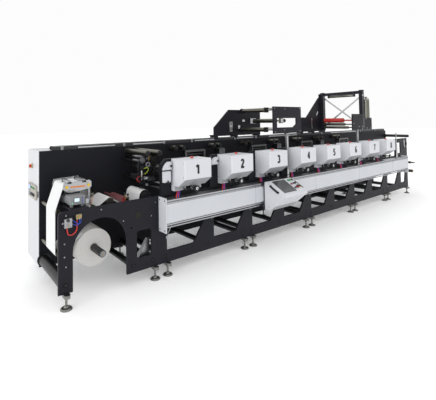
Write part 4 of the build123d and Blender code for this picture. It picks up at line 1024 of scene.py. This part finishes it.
for k in range(12):
    u = -1160 + DOOR_PITCH * k
    doors.box((u + 638, 1430.2, 788), (u + 666, 1431.6, 902), PLASTIC, 0.5)
    doors.pin(u + 652, 870, 1431.2, 1431.9, 8, BRIGHT)
    doors.box((u + 648, 1430.8, 800), (u + 656, 1431.9, 850), BRIGHT, 0.3)
    for z in (330, 1320):
        doors.post(u + 4, 1424, z - 30, z + 30, 6, BRIGHT, edge=1)
    for n in range(7):
        doors.box((u + 250, 1431.2, 232 + 16 * n), (u + 430, 1431.95, 238 + 16 * n), RECESS_SHADOW)
    if k % 2 == 0:
        doors.box((u + 240, 1000, 1500), (u + 460, 1240, 1503), BOX_GREY, 1)

# Feet: lock nuts on the stems and cones on the pads
nuts = Shape("foot_nuts", "foot_steel")
feet_at = [(-1110, 4), (7137, 4)]
feet_at += [(MODULE * m + d, 4) for m in range(5) for d in (-88, 88)]
feet_at += [(u, y) for u in [-965, 7101] + [MODULE * m - 88 for m in range(5)] for y in (930, 1330)]
for u, y in feet_at:
    nuts.post(u, y, 102, 117.5, 20, DARK, sides=6)
    nuts.post(u, y, 17, 40, 34, FOOT, top=14, sides=28)

for shape in SHAPES:
    shape.done()

# Stage: floor, light, camera
scene = bpy.context.scene
floor_mesh = bpy.data.meshes.new("floor")
floor_mesh.from_pydata([(-60, -60, 0), (60, -60, 0), (60, 60, 0), (-60, 60, 0)], [], [(0, 1, 2, 3)])
floor = link("floor", floor_mesh)
floor_paint = painted("floor_paint", (0.95, 0.95, 0.95), 0.85, 20, 0.02, 0.01, level=0.2)
floor_tree = floor_paint.node_tree
floor_shader = floor_tree.nodes["Principled BSDF"]
fill(floor_tree, floor_shader, {"Emission Color": (1.0, 1.0, 1.0, 1.0), "Emission Strength": 0.16})
floor_mesh.materials.append(floor_paint)

world = scene.world or bpy.data.worlds.new("World")
scene.world = world
world.use_nodes = True
sky = world.node_tree.nodes["Background"]
fill(world.node_tree, sky, {"Color": (1.0, 1.0, 1.0, 1.0), "Strength": 0.98})

# A wide soft light over the front, and soft daylight from the left
KEY_PLACE = Vector((-3.0, -7.0, 6.0))
KEY_TARGET = Vector((0, 0, 0.8))
key = bpy.data.lights.new("key", "AREA")
key.shape = "RECTANGLE"
key.size = 7
key.size_y = 3
key.energy = 40
key_light = link("key", key)
key_light.location = KEY_PLACE
key_light.rotation_euler = (KEY_TARGET - KEY_PLACE).to_track_quat("-Z", "Y").to_euler()
sun = bpy.data.lights.new("sun_left", "SUN")
sun.energy = 1.0
sun.angle = math.radians(40)
sun_light = link("sun_left", sun)
sun_light.rotation_euler = Vector((1.0, 0.25, -0.32)).to_track_quat("-Z", "Y").to_euler()

# Camera: its picture size, focal length and principal point in pixels, its eye in metres
WIDTH = 436
HEIGHT = 400
FOCAL = 338.338
MIDDLE = (187.847, 109.578)
EYE = (-5.59826, -3.88978, 1.82977)
YAW = math.radians(37.1814)
PITCH_UP = math.radians(2.0)
ROLL = math.radians(-0.8)
SENSOR = 36
forward = Vector((math.cos(PITCH_UP) * math.sin(YAW), math.cos(PITCH_UP) * math.cos(YAW), math.sin(PITCH_UP)))
right = Vector((math.cos(YAW), -math.sin(YAW), 0))
up = right.cross(forward)
across = math.cos(ROLL) * right + math.sin(ROLL) * up
upward = -math.sin(ROLL) * right + math.cos(ROLL) * up
lens = bpy.data.cameras.new("camera")
lens.sensor_width = SENSOR
lens.lens = FOCAL / WIDTH * SENSOR
lens.shift_x = (WIDTH / 2 - MIDDLE[0]) / WIDTH
lens.shift_y = -(HEIGHT / 2 - MIDDLE[1]) / WIDTH
lens.clip_end = 200
camera = link("camera", lens)
rows = [(across[n], upward[n], -forward[n], EYE[n]) for n in range(3)]
camera.matrix_world = Matrix((*rows, (0, 0, 0, 1)))
scene.camera = camera
scene.view_settings.view_transform = "Standard"
